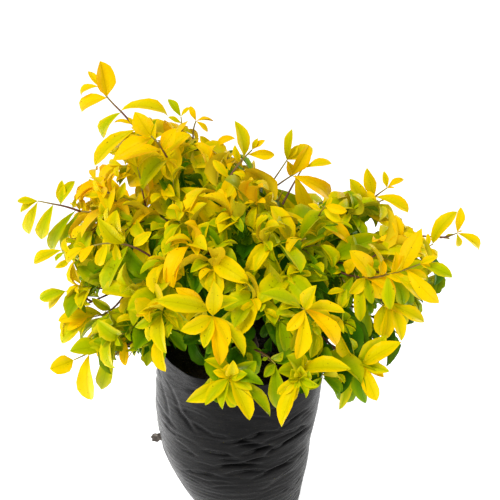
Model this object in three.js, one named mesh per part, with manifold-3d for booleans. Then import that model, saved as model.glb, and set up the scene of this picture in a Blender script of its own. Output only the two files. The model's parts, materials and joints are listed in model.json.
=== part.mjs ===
// A golden duranta shrub in a black film grow bag: the bag, the soil that fills it, a short
// trunk, its boughs and side branches, and one mass of leafy twigs at the tip of each of them.
// Millimetres, +Z up. The origin is the middle of the bag's flat underside.
import * as THREE from "three";
import { mergeVertices } from "three/addons/utils/BufferGeometryUtils.js";
import Module from "manifold-3d";

const wasm = await Module();
wasm.setup();

const SEED = 20817;
const UP = new THREE.Vector3(0, 0, 1);
const GAP = 0.3; // between two pieces that touch in life

// Grow bag: a 12 inch wide film bag, filled. Its left side bulges and its foot is tucked to the right.
const BAG_WALL = 1.4;
const BAG_SIDES = 28;
const BAG_DEPTH_SHARE = 0.97; // the bag from front to back against its width
// Height, radius and sideways shift of each station of the bag's outside.
const BAG_STATIONS = [
  [0, 46, 2],
  [5, 55, 1.5],
  [16, 61, 0],
  [46, 73, -7],
  [82, 85, -13],
  [122, 94, -17],
  [176, 100, -16],
  [243, 102.5, -11],
  [270, 103, -9],
];
const BAG_HEIGHT = BAG_STATIONS.at(-1)[0];
const BAG_INSIDE = [2, 4, 6, 8]; // the stations that the inside follows, the last at the rim
const RIM_WAVE = 2.5;
const RIM_WAVE_DEPTH = 40; // how far down from the rim its wave dies out
const SOIL_LEVEL = 250;
const SOIL_CROWN = 3; // how much higher the soil stands in the middle
const FLAP_SIZE = 14; // a torn tag of film that stands out of the bag's left side
const FLAP_HEIGHT = 118;

// Trunk. Its foot is cut flat on the soil, a little above where its curve starts.
const TRUNK_CUT = SOIL_LEVEL + SOIL_CROWN + GAP;
const TRUNK_FOOT = new THREE.Vector3(1, 4, TRUNK_CUT - 3);
const TRUNK_TOP = new THREE.Vector3(-6, 0, 322);
const TRUNK_RADIUS = 6.6;
const TRUNK_TIP_RADIUS = 4;
const ROOT_FLARE = 1.45; // the trunk's foot against its radius
const TRUNK_SIDES = 10;
const TRUNK_RINGS = 8;

// Limbs: boughs grow from the trunk, branches from a bough.
const BOUGH_RADIUS = 3.6;
const BRANCH_RADIUS = 2.5;
const LIMB_TIP_RADIUS = 1.7;
const LIMB_SIDES = 5;
const LIMB_RINGS = 3;
const LIMB_SHARE = 0.46; // how much of the way to a mass's tip its limb covers
const LIMB_LIFT = 0.14; // how far a limb rises above the straight way to its tip, by its length
const BOUGH_FEET = [0.46, 0.97]; // the lowest and highest bough, along the trunk
const BOUGH_STEP = 5; // boughs next to each other in azimuth leave the trunk this many places apart

// Crown: one mass of foliage at the tip of each limb, in four tiers around the crown's root. A tier
// has the elevation of its tips in degrees and where along its bough a branch leaves. It lists its
// masses by azimuth in degrees from +X, by reach as a share of the crown's, and by degrees higher.
const CROWN_ROOT = new THREE.Vector3(-6, 0, 312);
const CROWN_REACH = 172;
const CROWN_DEPTH_SHARE = 0.9; // the crown from front to back against its width
const TIERS = [
  {
    tier: "top",
    elevation: 74,
    masses: { left: [155, 1.69, -20], centre: [228, 0.96, 0], right: [340, 0.95, 0] },
  },
  {
    tier: "upper",
    elevation: 50,
    masses: {
      left: [184, 1.26, -5],
      back_left: [120, 1.2, 4],
      back: [86, 1.07, -4],
      back_right: [50, 1.04, 4],
      right: [10, 1.2, -12],
      front_right: [306, 1, 0],
      front_left: [240, 1, -2],
    },
  },
  {
    tier: "middle",
    elevation: 20,
    leaves: 0.42,
    masses: {
      left: [174, 1.45, 7],
      back_left: [140, 1.15, 0],
      back: [98, 1.08, 0],
      back_right: [52, 1.1, 0],
      right: [2, 1.46, 0],
      front_right: [334, 1.18, 2],
      front: [284, 0.95, 2],
      front_left: [222, 1.02, 2],
    },
  },
  {
    tier: "low",
    elevation: -5,
    leaves: 0.2,
    masses: {
      left: [188, 1.22, 6],
      back_left: [156, 1.08, 0],
      back: [108, 1.02, 0],
      back_right: [60, 1.04, 0],
      right: [350, 1.08, -2],
      front_right: [316, 1, -2],
      front: [268, 0.88, 0],
      front_left: [213, 1.08, -1],
    },
  },
];

// Twigs: pairs on a stem, each pair turned a quarter from the last. They have three sides.
const TWIG_SIDES = 3;
const STEM_RINGS = 4;
const STEM_TIP_RADIUS = 1.2;
const TWIG_RADIUS = 1.4;
const TWIG_TIP_RADIUS = 1.1;
const NODE_SPACING = 20; // along a mass's stem, from one pair to the next
const TWIG_LENGTH = 38;
const TWIG_ANGLE = 60; // degrees from the stem
const TWIG_DROOP = 0.2; // how far a twig's tip hangs, by its length
const TWIG_TRIES = [1, 0.7]; // its length, and a shorter one where that leaves the space
const TWIG_NODES = [2, 3]; // the pairs along a stem that are twigs; the others are leaves
const TWIG_PAIRS = [0.45, 0.9]; // where along a twig its pairs of leaves stand

// Leaves: folded blades of eight faces.
const LEAF_LENGTH = 52;
const LEAF_WIDTH = 0.5; // by its length
const LEAF_THICKNESS = 1.4;
const LEAF_MIDDLE = 0.58; // where along it the leaf is widest
const LEAF_TURN = 0.5; // how much chance turns its face
const LEAF_FOLD = 0.07; // how far its edges stand above its midrib, by its length
const LEAF_ARCH = 0.06;
const LEAF_DROP = 0.14; // how far its tip hangs, by its length
const LEAF_SINK = 0.35; // how far past the twig's axis its root lies
// A leaf's angle from its twig in degrees and share of its length: how it grows where it has room,
// and closer and shorter where that would leave the space.
const LEAF_TRIES = [
  [58, 1],
  [42, 1],
  [74, 0.9],
  [32, 0.8],
  [55, 0.7],
];
const LEAF_STALK = 5; // how far from its root a leaf must be clear of the mass's other leaves
const MOST_PIECES = 23; // leaves and twigs of one mass
const SEAM_DETAIL = 0.1; // smaller steps where leaves meet their twig are smoothed away
const LEAF_CLEARANCE = 1.2; // from a limb, the bag and the soil
const SITE_SHARE = 0.55; // where along its stem the middle of a mass's space lies
const SPACE_MARGIN = 0.4; // from the middle between two masses

const COLOURS = { film: 0x252527, soil: 0x2a1b12, bark: 0x5b4636, gold: 0xe0b40c, lime: 0xa3b414 };

// A share from 0 to 1 that depends only on the whole numbers given to it.
function chance(...keys) {
  let h = SEED;
  for (const key of keys) {
    h = Math.imul(h ^ key, 2654435761);
    h = Math.imul(h ^ (h >>> 15), 2246822519);
    h ^= h >>> 13;
  }
  return (h >>> 0) / 4294967296;
}

function between(low, high, ...keys) {
  return low + (high - low) * chance(...keys);
}

// A point of the crown, seen from its root.
function crownPoint(azimuth, elevation, reach) {
  const [turn, rise] = [azimuth, elevation].map(THREE.MathUtils.degToRad);
  const flat = reach * Math.cos(rise);
  return new THREE.Vector3(
    CROWN_ROOT.x + flat * Math.cos(turn),
    CROWN_ROOT.y + flat * Math.sin(turn) * CROWN_DEPTH_SHARE,
    CROWN_ROOT.z + reach * Math.sin(rise),
  );
}

// How far apart two azimuths are.
function turnBetween(a, b) {
  return Math.abs(THREE.MathUtils.euclideanModulo(a - b + 180, 360) - 180);
}

function mix(a, b, share) {
  return a.clone().lerp(b, share);
}

// Solids

function solidOf(geometry) {
  const bare = geometry.clone();
  bare.deleteAttribute("normal");
  bare.deleteAttribute("uv");
  const merged = mergeVertices(bare, 1e-4);
  return new wasm.Manifold(
    new wasm.Mesh({
      numProp: 3,
      vertProperties: merged.attributes.position.array,
      triVerts: new Uint32Array(merged.index.array),
    }),
  );
}

function geometryOf(solid) {
  const { vertProperties, triVerts } = solid.getMesh();
  const geometry = new THREE.BufferGeometry()
    .setAttribute("position", new THREE.BufferAttribute(new Float32Array(vertProperties), 3))
    .setIndex(new THREE.BufferAttribute(new Uint32Array(triVerts), 1));
  geometry.computeVertexNormals();
  return geometry;
}

// A tapering limb: a cylinder whose rings are carried along a curve.
function limbGeometry(curve, radiusAt, sides, rings) {
  const geometry = new THREE.CylinderGeometry(1, 1, 1, sides, rings);
  const frames = curve.computeFrenetFrames(rings, false);
  const position = geometry.attributes.position;
  const point = new THREE.Vector3();
  for (let i = 0; i < position.count; i++) {
    const along = position.getY(i) + 0.5;
    const ring = Math.round(along * rings);
    const radius = radiusAt(along);
    point.copy(curve.getPointAt(along));
    point.addScaledVector(frames.normals[ring], -position.getX(i) * radius);
    point.addScaledVector(frames.binormals[ring], position.getZ(i) * radius);
    position.setXYZ(i, point.x, point.y, point.z);
  }
  return geometry;
}

function limbSolid(curve, radiusAt, sides, rings) {
  const solid = solidOf(limbGeometry(curve, radiusAt, sides, rings));
  if (solid.volume() <= 0) throw new Error("a limb is inside out");
  return solid;
}

// Grow bag

function bagAt(height) {
  const next = Math.max(1, BAG_STATIONS.findIndex((station) => station[0] >= height));
  const [lowZ, lowRadius, lowShift] = BAG_STATIONS[next - 1];
  const [highZ, highRadius, highShift] = BAG_STATIONS[next];
  const share = (height - lowZ) / (highZ - lowZ);
  return {
    radius: THREE.MathUtils.lerp(lowRadius, highRadius, share),
    shift: THREE.MathUtils.lerp(lowShift, highShift, share),
  };
}

// Turns a profile of radius and height about the axis, then shifts and flattens it as the bag is.
// The rim of a profile that reaches it rises and falls by the wave given.
function baggedLathe(profile, rimWave) {
  const points = profile.map(([radius, height]) => new THREE.Vector2(radius, height));
  const geometry = new THREE.LatheGeometry(points, BAG_SIDES).rotateX(Math.PI / 2);
  const position = geometry.attributes.position;
  for (let i = 0; i < position.count; i++) {
    const [x, y, z] = [position.getX(i), position.getY(i), position.getZ(i)];
    const height = THREE.MathUtils.clamp(z, 0, BAG_HEIGHT);
    const nearRim = THREE.MathUtils.smoothstep(height, BAG_HEIGHT - RIM_WAVE_DEPTH, BAG_HEIGHT);
    const raised = rimWave * Math.sin(2 * Math.atan2(y, x) + 0.6) * nearRim;
    position.setXYZ(i, x + bagAt(height).shift, y * BAG_DEPTH_SHARE, z + raised);
  }
  return geometry;
}

function growBag() {
  const outside = BAG_STATIONS.map(([height, radius]) => [radius, height]);
  const inside = BAG_INSIDE.map((station) => BAG_STATIONS[station])
    .map(([height, radius]) => [radius - BAG_WALL, height])
    .reverse();
  const floor = [BAG_STATIONS[0][1] - BAG_WALL, BAG_WALL];
  return baggedLathe([[0, 0], ...outside, ...inside, floor, [0, BAG_WALL]], RIM_WAVE);
}

function soil() {
  const inset = BAG_WALL + 2 * GAP;
  const floor = BAG_WALL + GAP;
  const foot = [BAG_STATIONS[0][1] - inset - GAP, floor];
  const wall = BAG_INSIDE.slice(0, -1)
    .map((station) => BAG_STATIONS[station])
    .map(([height, radius]) => [radius - inset, height]);
  const brim = [bagAt(SOIL_LEVEL).radius - inset - GAP, SOIL_LEVEL - 1];
  const top = SOIL_LEVEL + SOIL_CROWN;
  const slope = [brim[0] * 0.6, SOIL_LEVEL + SOIL_CROWN * 0.6];
  const profile = [[0, floor], foot, ...wall, brim, slope, [brim[0] * 0.2, top], [0, top]];
  return baggedLathe(profile, 0);
}

// A small crumpled tag: a flattened icosahedron on edge, whose root is cut clear of the bag.
function filmFlap(bag) {
  const { radius, shift } = bagAt(FLAP_HEIGHT);
  const geometry = new THREE.IcosahedronGeometry(FLAP_SIZE / 2, 0)
    .scale(1.5, 0.35, 0.9)
    .rotateY(0.25);
  geometry.translate(shift - radius - FLAP_SIZE * 0.25, 2, FLAP_HEIGHT);
  return largest(solidOf(geometry).subtract(bag)).translate([-GAP, 0, 0]);
}

// Trunk and limbs

function trunkRadius(along) {
  const flare = 1 + (ROOT_FLARE - 1) * Math.exp(-9 * along);
  return THREE.MathUtils.lerp(TRUNK_RADIUS, TRUNK_TIP_RADIUS, along) * flare;
}

function trunkCurve() {
  const bend = new THREE.Vector3(TRUNK_FOOT.x, TRUNK_FOOT.y, mix(TRUNK_FOOT, TRUNK_TOP, 0.5).z);
  return new THREE.QuadraticBezierCurve3(TRUNK_FOOT, bend, TRUNK_TOP);
}

// The crown's limbs by tier: a bough for each mass of the tiers that say no place to leave from,
// then a branch for each other mass, from the bough nearest to it.
function listLimbs() {
  const specs = TIERS.flatMap(({ tier, elevation, leaves, masses }) =>
    Object.entries(masses).map(([side, [azimuth, share, higher]]) => ({
      name: `${tier}_${side}`,
      azimuth,
      tip: crownPoint(azimuth, elevation + higher, share * CROWN_REACH),
      from: "trunk",
      at: leaves,
    })),
  );
  const boughs = specs.filter(({ at }) => at === undefined);
  const around = [...boughs].sort((a, b) => a.azimuth - b.azimuth);
  around.forEach((bough, place) => {
    const level = ((place * BOUGH_STEP) % boughs.length) / (boughs.length - 1);
    bough.at = THREE.MathUtils.lerp(...BOUGH_FEET, level);
  });
  for (const branch of specs.filter((spec) => !boughs.includes(spec))) {
    const turn = (bough) => turnBetween(bough.azimuth, branch.azimuth);
    branch.from = boughs.reduce((best, bough) => (turn(bough) < turn(best) ? bough : best)).name;
  }
  return specs;
}

// The limb and, past its tip, the stem that goes on in its mass of foliage. Both are one smooth bow.
function planLimb(spec, parents) {
  const foot = parents.get(spec.from).curve.getPoint(spec.at);
  const lift = UP.clone().multiplyScalar(LIMB_LIFT * foot.distanceTo(spec.tip));
  const entry = mix(foot, spec.tip, LIMB_SHARE).add(lift);
  const bend = mix(foot, entry, 0.5).addScaledVector(lift, 0.55);
  const onward = entry.clone().sub(bend).setLength(entry.distanceTo(spec.tip) * 0.5);
  const start = entry.clone().addScaledVector(onward.clone().normalize(), GAP);
  const thick = spec.from === "trunk" ? BOUGH_RADIUS : BRANCH_RADIUS;
  return {
    ...spec,
    curve: new THREE.QuadraticBezierCurve3(foot, bend, entry),
    stem: new THREE.QuadraticBezierCurve3(start, start.clone().add(onward), spec.tip),
    radiusAt: (along) => THREE.MathUtils.lerp(thick, LIMB_TIP_RADIUS, along),
    sides: LIMB_SIDES,
    rings: LIMB_RINGS,
  };
}

function largest(solid) {
  return solid.decompose().sort((a, b) => b.volume() - a.volume())[0];
}

// A limb's solid, thicker all round by the allowance.
function limbWith(allowance, { curve, radiusAt, sides, rings }) {
  return limbSolid(curve, (along) => radiusAt(along) + allowance, sides, rings);
}

// The limb's solid, cut so that it sits on its parent and clears its neighbours by the usual gap.
function seatedLimb(limb, earlier) {
  const seats = earlier.map((other) => limbWith(GAP, other));
  return largest(limbWith(0, limb).subtract(wasm.Manifold.union(seats)));
}

// Foliage

// The two directions of a pair at a place on a stem: straight out to either side, turned by roll.
function pairDirections(curve, along, roll) {
  const tangent = curve.getTangent(along);
  const side = new THREE.Vector3().crossVectors(tangent, UP).normalize();
  const over = new THREE.Vector3().crossVectors(side, tangent);
  const out = side.multiplyScalar(Math.cos(roll)).addScaledVector(over, Math.sin(roll));
  return { tangent, outward: [out, out.clone().negate()] };
}

function leaning(tangent, out, degrees) {
  const angle = THREE.MathUtils.degToRad(degrees);
  return tangent.clone().multiplyScalar(Math.cos(angle)).addScaledVector(out, Math.sin(angle));
}

function twigLine(root, direction, length) {
  const reach = direction.clone().addScaledVector(UP, -TWIG_DROOP).multiplyScalar(length);
  return new THREE.LineCurve3(root, root.clone().add(reach));
}

// One leaf of a pair or, with no side, the one at a twig's end: its root, the way it points, the way
// its face looks, and its length. It leans out of the twig by degrees, is drawn outward and down,
// and looks up and away from the crown's root.
function leafFrame({ root, tangent, out, keys }, [degrees, share]) {
  const outward = root.clone().sub(CROWN_ROOT).normalize();
  const point = leaning(tangent, out, degrees)
    .addScaledVector(outward, 0.2)
    .addScaledVector(UP, between(-0.4, 0.1, ...keys, 1))
    .normalize();
  const light = outward.multiplyScalar(0.55).addScaledVector(UP, 0.55);
  for (const [order, axis] of ["x", "y", "z"].entries()) {
    light[axis] += between(-LEAF_TURN, LEAF_TURN, ...keys, 2 + order);
  }
  const face = light.addScaledVector(point, -light.dot(point)).normalize();
  return { root, point, face, length: LEAF_LENGTH * share * between(0.84, 1.1, ...keys, 5) };
}

function leafPair(curve, along, roll, keys) {
  const { tangent, outward } = pairDirections(curve, along, roll);
  const root = curve.getPoint(along);
  return outward.map((out, side) => ({ root, tangent, out, keys: [...keys, side] }));
}

function endLeaf(curve, keys) {
  const out = new THREE.Vector3();
  return { root: curve.getPoint(0.97), tangent: curve.getTangent(1), out, keys: [...keys, 9] };
}

// An octahedron's six corners become the leaf's root, tip, two edges and the two sides of its midrib.
function leafGeometry({ root, point, face, length }, rootAt = -LEAF_SINK) {
  const across = new THREE.Vector3().crossVectors(face, point);
  const geometry = new THREE.OctahedronGeometry(1);
  const position = geometry.attributes.position;
  for (let i = 0; i < position.count; i++) {
    const [x, y, z] = [position.getX(i), position.getY(i), position.getZ(i)];
    const along = x < -0.5 ? rootAt : x > 0.5 ? length : length * LEAF_MIDDLE;
    const isEnd = Math.abs(x) > 0.5;
    const raised = isEnd ? (x > 0 ? -LEAF_DROP * length : 0) : LEAF_ARCH * length;
    const fold = LEAF_FOLD * length * Math.abs(y);
    const corner = root
      .clone()
      .addScaledVector(point, along)
      .addScaledVector(across, (y * LEAF_WIDTH * length) / 2)
      .addScaledVector(face, raised + fold + (z * LEAF_THICKNESS) / 2);
    position.setXYZ(i, corner.x, corner.y, corner.z);
  }
  return geometry;
}

function cornersOf(geometry) {
  const position = geometry.attributes.position;
  return Array.from({ length: position.count }, (_, i) =>
    new THREE.Vector3().fromBufferAttribute(position, i),
  );
}

// Whether points keep to their mass's space: nearer to its own site than to any other's, and
// clear of the soil and the bag.
function keepsToSpace(points, site, sites) {
  return points.every((point) => {
    const own = point.distanceToSquared(site);
    const ownSpace = sites.every((other) => {
      if (other === site) return true;
      const margin = 2 * SPACE_MARGIN * other.distanceTo(site);
      return point.distanceToSquared(other) - own > margin;
    });
    return ownSpace && clearOfBag(point);
  });
}

function clearOfBag(point) {
  const lip = RIM_WAVE + LEAF_CLEARANCE;
  if (point.z > BAG_HEIGHT + lip) return true;
  const { radius, shift } = bagAt(THREE.MathUtils.clamp(point.z, 0, BAG_HEIGHT));
  const outside = Math.hypot(point.x - shift, point.y / BAG_DEPTH_SHARE) - radius;
  const nearWall = outside > -BAG_WALL - 2 * LEAF_CLEARANCE && outside < 2 * LEAF_CLEARANCE;
  const inSoil = outside < 0 && point.z < SOIL_LEVEL + SOIL_CROWN + LEAF_CLEARANCE;
  return !nearWall && !inSoil;
}

function withBounds(solid) {
  return { solid, bounds: solid.boundingBox() };
}

// Whether a small solid is clear of every obstacle that its box comes near.
function clearOf(small, obstacles) {
  const box = small.boundingBox();
  return obstacles.every(({ solid, bounds }) => {
    const apart = [0, 1, 2].some(
      (axis) => box.max[axis] < bounds.min[axis] || box.min[axis] > bounds.max[axis],
    );
    return apart || solid.intersect(small).isEmpty();
  });
}

// One mass: a stem, pairs of side twigs along it, and pairs of leaves along those and at its end.
function growMass({ stem }, index, site, sites, obstacles) {
  const stemRadius = (along) => THREE.MathUtils.lerp(LIMB_TIP_RADIUS, STEM_TIP_RADIUS, along);
  const twigRadius = (along) => THREE.MathUtils.lerp(TWIG_RADIUS, TWIG_TIP_RADIUS, along);
  const kept = [withBounds(limbSolid(stem, stemRadius, TWIG_SIDES, STEM_RINGS))];

  const addLeaf = (leaf) => {
    if (kept.length >= MOST_PIECES) return;
    for (const growth of LEAF_TRIES) {
      const frame = leafFrame(leaf, growth);
      const geometry = leafGeometry(frame);
      const solid = solidOf(geometry);
      const blade = solidOf(leafGeometry(frame, LEAF_STALK));
      if (!keepsToSpace(cornersOf(geometry), site, sites)) continue;
      if (!clearOf(solid, obstacles) || !clearOf(blade, kept)) continue;
      kept.push(withBounds(solid));
      return;
    }
  };
  const addTwig = (root, direction, length, keys) => {
    for (const share of TWIG_TRIES) {
      const twig = twigLine(root, direction, length * share);
      const solid = limbSolid(twig, twigRadius, TWIG_SIDES, 1);
      if (!keepsToSpace(twig.getPoints(4), site, sites) || !clearOf(solid, obstacles)) continue;
      kept.push(withBounds(solid));
      addLeaf(endLeaf(twig, keys));
      TWIG_PAIRS.forEach((place, pair) => {
        leafPair(twig, place, (pair * Math.PI) / 2, [...keys, pair]).forEach(addLeaf);
      });
      return;
    }
  };

  // From the tip inward, so that the outer leaves have first choice of the space.
  addLeaf(endLeaf(stem, [index]));
  const nodes = Math.round(stem.getLength() / NODE_SPACING);
  for (let node = nodes; node >= 1; node--) {
    const along = Math.min(node / nodes, 0.985);
    const roll = (node * Math.PI) / 2 + between(-0.3, 0.3, index, node);
    if (!TWIG_NODES.includes(node)) {
      leafPair(stem, along, roll, [index, node]).forEach(addLeaf);
      continue;
    }
    const { tangent, outward } = pairDirections(stem, along, roll);
    outward.forEach((out, side) => {
      const length = TWIG_LENGTH * between(0.8, 1.15, index, node, side);
      const direction = leaning(tangent, out, TWIG_ANGLE);
      addTwig(stem.getPoint(along), direction, length, [index, node, side]);
    });
  }
  return largest(wasm.Manifold.union(kept.map(({ solid }) => solid)).simplify(SEAM_DETAIL));
}

// The whole plant

const shrub = new THREE.Group();

function addPiece(name, geometry, colour, roughness) {
  const material = new THREE.MeshStandardMaterial({ color: colour, roughness, metalness: 0 });
  const mesh = new THREE.Mesh(geometry, material);
  mesh.name = name;
  shrub.add(mesh);
}

const bag = solidOf(growBag());
addPiece("grow_bag", geometryOf(bag), COLOURS.film, 0.4);
addPiece("soil", soil(), COLOURS.soil, 0.95);
addPiece("film_flap", geometryOf(filmFlap(bag)), COLOURS.film, 0.4);

const trunk = { curve: trunkCurve(), radiusAt: trunkRadius, sides: TRUNK_SIDES, rings: TRUNK_RINGS };
const trunkSolid = limbWith(0, trunk).trimByPlane([0, 0, 1], TRUNK_CUT);
addPiece("trunk", geometryOf(trunkSolid), COLOURS.bark, 0.9);

const plans = new Map([["trunk", trunk]]);
for (const spec of listLimbs()) {
  const limb = planLimb(spec, plans);
  const solid = seatedLimb(limb, [...plans.values()]);
  const kind = limb.from === "trunk" ? "bough" : "branch";
  addPiece(`${kind}_${limb.name}`, geometryOf(solid), COLOURS.bark, 0.85);
  plans.set(spec.name, limb);
}

const grownLimbs = [...plans.values()].map((limb) => limbWith(LEAF_CLEARANCE / 2, limb));
const obstacles = [...grownLimbs, bag].map(withBounds);
const limbs = [...plans.values()].slice(1);
const sites = limbs.map(({ stem }) => stem.getPoint(SITE_SHARE));
limbs.forEach((limb, index) => {
  const solid = growMass(limb, index, sites[index], sites, obstacles);
  const colour = limb.name.startsWith("low") ? COLOURS.lime : COLOURS.gold;
  addPiece(`foliage_${limb.name}`, geometryOf(solid), colour, 0.55);
});

export default shrub;
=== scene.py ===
"""A golden duranta shrub in a black film grow bag, dressed around the part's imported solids.

Classes hold their sizes in millimetres, in the part's own frame, and meshes are made in metres.
"""

import json
import logging
import math
from dataclasses import dataclass, field, replace
from enum import Enum

import bpy
import numpy as np
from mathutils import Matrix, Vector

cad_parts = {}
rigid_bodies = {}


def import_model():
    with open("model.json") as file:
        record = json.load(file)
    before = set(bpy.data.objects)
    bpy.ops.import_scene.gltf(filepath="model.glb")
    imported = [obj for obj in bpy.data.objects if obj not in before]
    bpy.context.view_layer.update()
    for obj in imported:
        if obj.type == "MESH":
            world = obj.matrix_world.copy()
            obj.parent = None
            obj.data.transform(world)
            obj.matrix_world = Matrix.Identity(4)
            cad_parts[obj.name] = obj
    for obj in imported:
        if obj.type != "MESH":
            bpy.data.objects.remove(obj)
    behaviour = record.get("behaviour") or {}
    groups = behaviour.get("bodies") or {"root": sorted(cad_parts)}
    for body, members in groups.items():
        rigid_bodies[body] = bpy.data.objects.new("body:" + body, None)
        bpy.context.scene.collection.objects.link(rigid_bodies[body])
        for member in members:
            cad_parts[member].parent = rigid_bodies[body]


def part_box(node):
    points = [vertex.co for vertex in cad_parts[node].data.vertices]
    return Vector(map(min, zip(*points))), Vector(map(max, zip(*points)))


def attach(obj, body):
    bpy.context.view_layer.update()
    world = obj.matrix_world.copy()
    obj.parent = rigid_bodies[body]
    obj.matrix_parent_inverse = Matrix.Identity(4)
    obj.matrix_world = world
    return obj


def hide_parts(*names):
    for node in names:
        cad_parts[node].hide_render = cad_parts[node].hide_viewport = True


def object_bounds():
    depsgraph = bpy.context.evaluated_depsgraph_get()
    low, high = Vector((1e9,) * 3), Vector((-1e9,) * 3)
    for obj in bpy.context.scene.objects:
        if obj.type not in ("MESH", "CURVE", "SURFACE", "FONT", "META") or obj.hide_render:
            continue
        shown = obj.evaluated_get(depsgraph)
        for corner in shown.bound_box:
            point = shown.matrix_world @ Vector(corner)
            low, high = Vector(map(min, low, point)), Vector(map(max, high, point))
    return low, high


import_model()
CAD_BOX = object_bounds()

MM = 0.001
SEED = 20817
WORD = 0xFFFFFFFF
UP = np.array([0.0, 0.0, 1.0])
log = logging.getLogger("shrub")


# Chance and noise


def chance(*keys: int) -> float:
    """Gives a share that depends only on its keys, by the rule of the part's source.

    Args:
        keys: Whole numbers that name the draw.

    Returns:
        A share from 0 to 1.
    """
    h = SEED
    for key in keys:
        h = ((h ^ key) * 2654435761) & WORD
        h = ((h ^ (h >> 15)) * 2246822519) & WORD
        h ^= h >> 13
    return h / 4294967296


def between(low: float, high: float, *keys: int) -> float:
    """Gives a number from low to high by the chance of the keys."""
    return low + (high - low) * chance(*keys)


def rumple(points: np.ndarray, size: float, seed: int = 0) -> np.ndarray:
    """Gives smooth random heights: each corner of a lattice of cubes has a hashed value, and a
    point takes the mean of its cube's eight corners, weighted by 3t² - 2t³ along each side.

    Args:
        points: The places, with three numbers along the last axis.
        size: The side of a cube.
        seed: Which of many such fields.

    Returns:
        Heights from -1 to 1, one for each point.
    """
    cell = np.floor(points / size).astype(np.int64)
    part = points / size - cell
    part = part * part * (3 - 2 * part)
    total = np.zeros(points.shape[:-1])
    for corner in np.ndindex(2, 2, 2):
        place = cell + np.array(corner)
        h = place[..., 0] * 374761393 + place[..., 1] * 668265263 + place[..., 2] * 974711549
        h = (h + seed * 144665) & WORD
        h = ((h ^ (h >> 13)) * 1274126177) & WORD
        h = (h ^ (h >> 16)) & WORD
        weight = np.prod(np.where(np.array(corner) == 1, part, 1 - part), axis=-1)
        total += weight * (2 * h / WORD - 1)
    return total


def smooth_step(value: np.ndarray, low: float, high: float) -> np.ndarray:
    """Rises from 0 at low to 1 at high, as 3t² - 2t³."""
    t = np.clip((value - low) / (high - low), 0, 1)
    return t * t * (3 - 2 * t)


# Vectors and curves


def unit(vector: np.ndarray) -> np.ndarray:
    """Brings vectors along the last axis to length 1."""
    return vector / np.linalg.norm(vector, axis=-1, keepdims=True)


def vec(*numbers: float) -> np.ndarray:
    """Makes a vector of the numbers given."""
    return np.array(numbers, dtype=float)


def around(sides: int) -> np.ndarray:
    """Gives the angles of as many corners around a circle."""
    return np.linspace(0, 2 * np.pi, sides, endpoint=False)


@dataclass(frozen=True)
class Bow:
    """A curve with one bend: (1-t)²·start + 2t(1-t)·bend + t²·end."""

    start: np.ndarray
    bend: np.ndarray
    end: np.ndarray

    def point(self, t: float | np.ndarray) -> np.ndarray:
        """Gives points of the curve.

        Args:
            t: The place or places, from 0 to 1.

        Returns:
            The point, or a row for each place.
        """
        t = np.asarray(t, dtype=float)[..., None]
        s = 1 - t
        return s * s * self.start + 2 * s * t * self.bend + t * t * self.end

    def tangent(self, t: float | np.ndarray) -> np.ndarray:
        """Gives the direction at t, of length 1."""
        t = np.asarray(t, dtype=float)[..., None]
        return unit((1 - t) * (self.bend - self.start) + t * (self.end - self.bend))

    def length(self) -> float:
        """Gives the curve's length, by 24 chords."""
        points = self.point(np.linspace(0, 1, 25))
        return float(np.linalg.norm(np.diff(points, axis=0), axis=1).sum())

    def cut(self, t: float) -> "Bow":
        """Gives the part of the curve from its start to t."""
        return Bow(self.start, self.start + t * (self.bend - self.start), self.point(t))


# Meshes


@dataclass(frozen=True)
class Faces:
    """The faces of a small closed surface, as numbers of its corners."""

    corners: int
    quads: np.ndarray
    triangles: np.ndarray

    def repeated(self, times: int) -> tuple[np.ndarray, np.ndarray]:
        """Gives the quads and triangles of as many copies, one after the other."""
        step = (np.arange(times) * self.corners)[:, None, None]
        return (self.quads + step).reshape(-1, 4), (self.triangles + step).reshape(-1, 3)


def lathe_faces(rings: int, sides: int) -> Faces:
    """Joins rings of corners into a closed surface with a pole at each end.

    The corners are numbered ring by ring, counterclockwise about the way on, then both poles.

    Args:
        rings: How many rings.
        sides: How many corners in a ring.

    Returns:
        The faces, looking outward.
    """
    ring, side = np.meshgrid(np.arange(rings - 1), np.arange(sides), indexing="ij")
    after = (side + 1) % sides
    low, high = ring * sides, (ring + 1) * sides
    quads = np.stack([low + side, low + after, high + after, high + side], axis=-1)
    side = np.arange(sides)
    after = (side + 1) % sides
    last = (rings - 1) * sides
    first_pole = np.full(sides, rings * sides)
    foot = np.stack([first_pole, after, side], axis=-1)
    head = np.stack([first_pole + 1, last + side, last + after], axis=-1)
    return Faces(rings * sides + 2, quads.reshape(-1, 4), np.concatenate([foot, head]))


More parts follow.
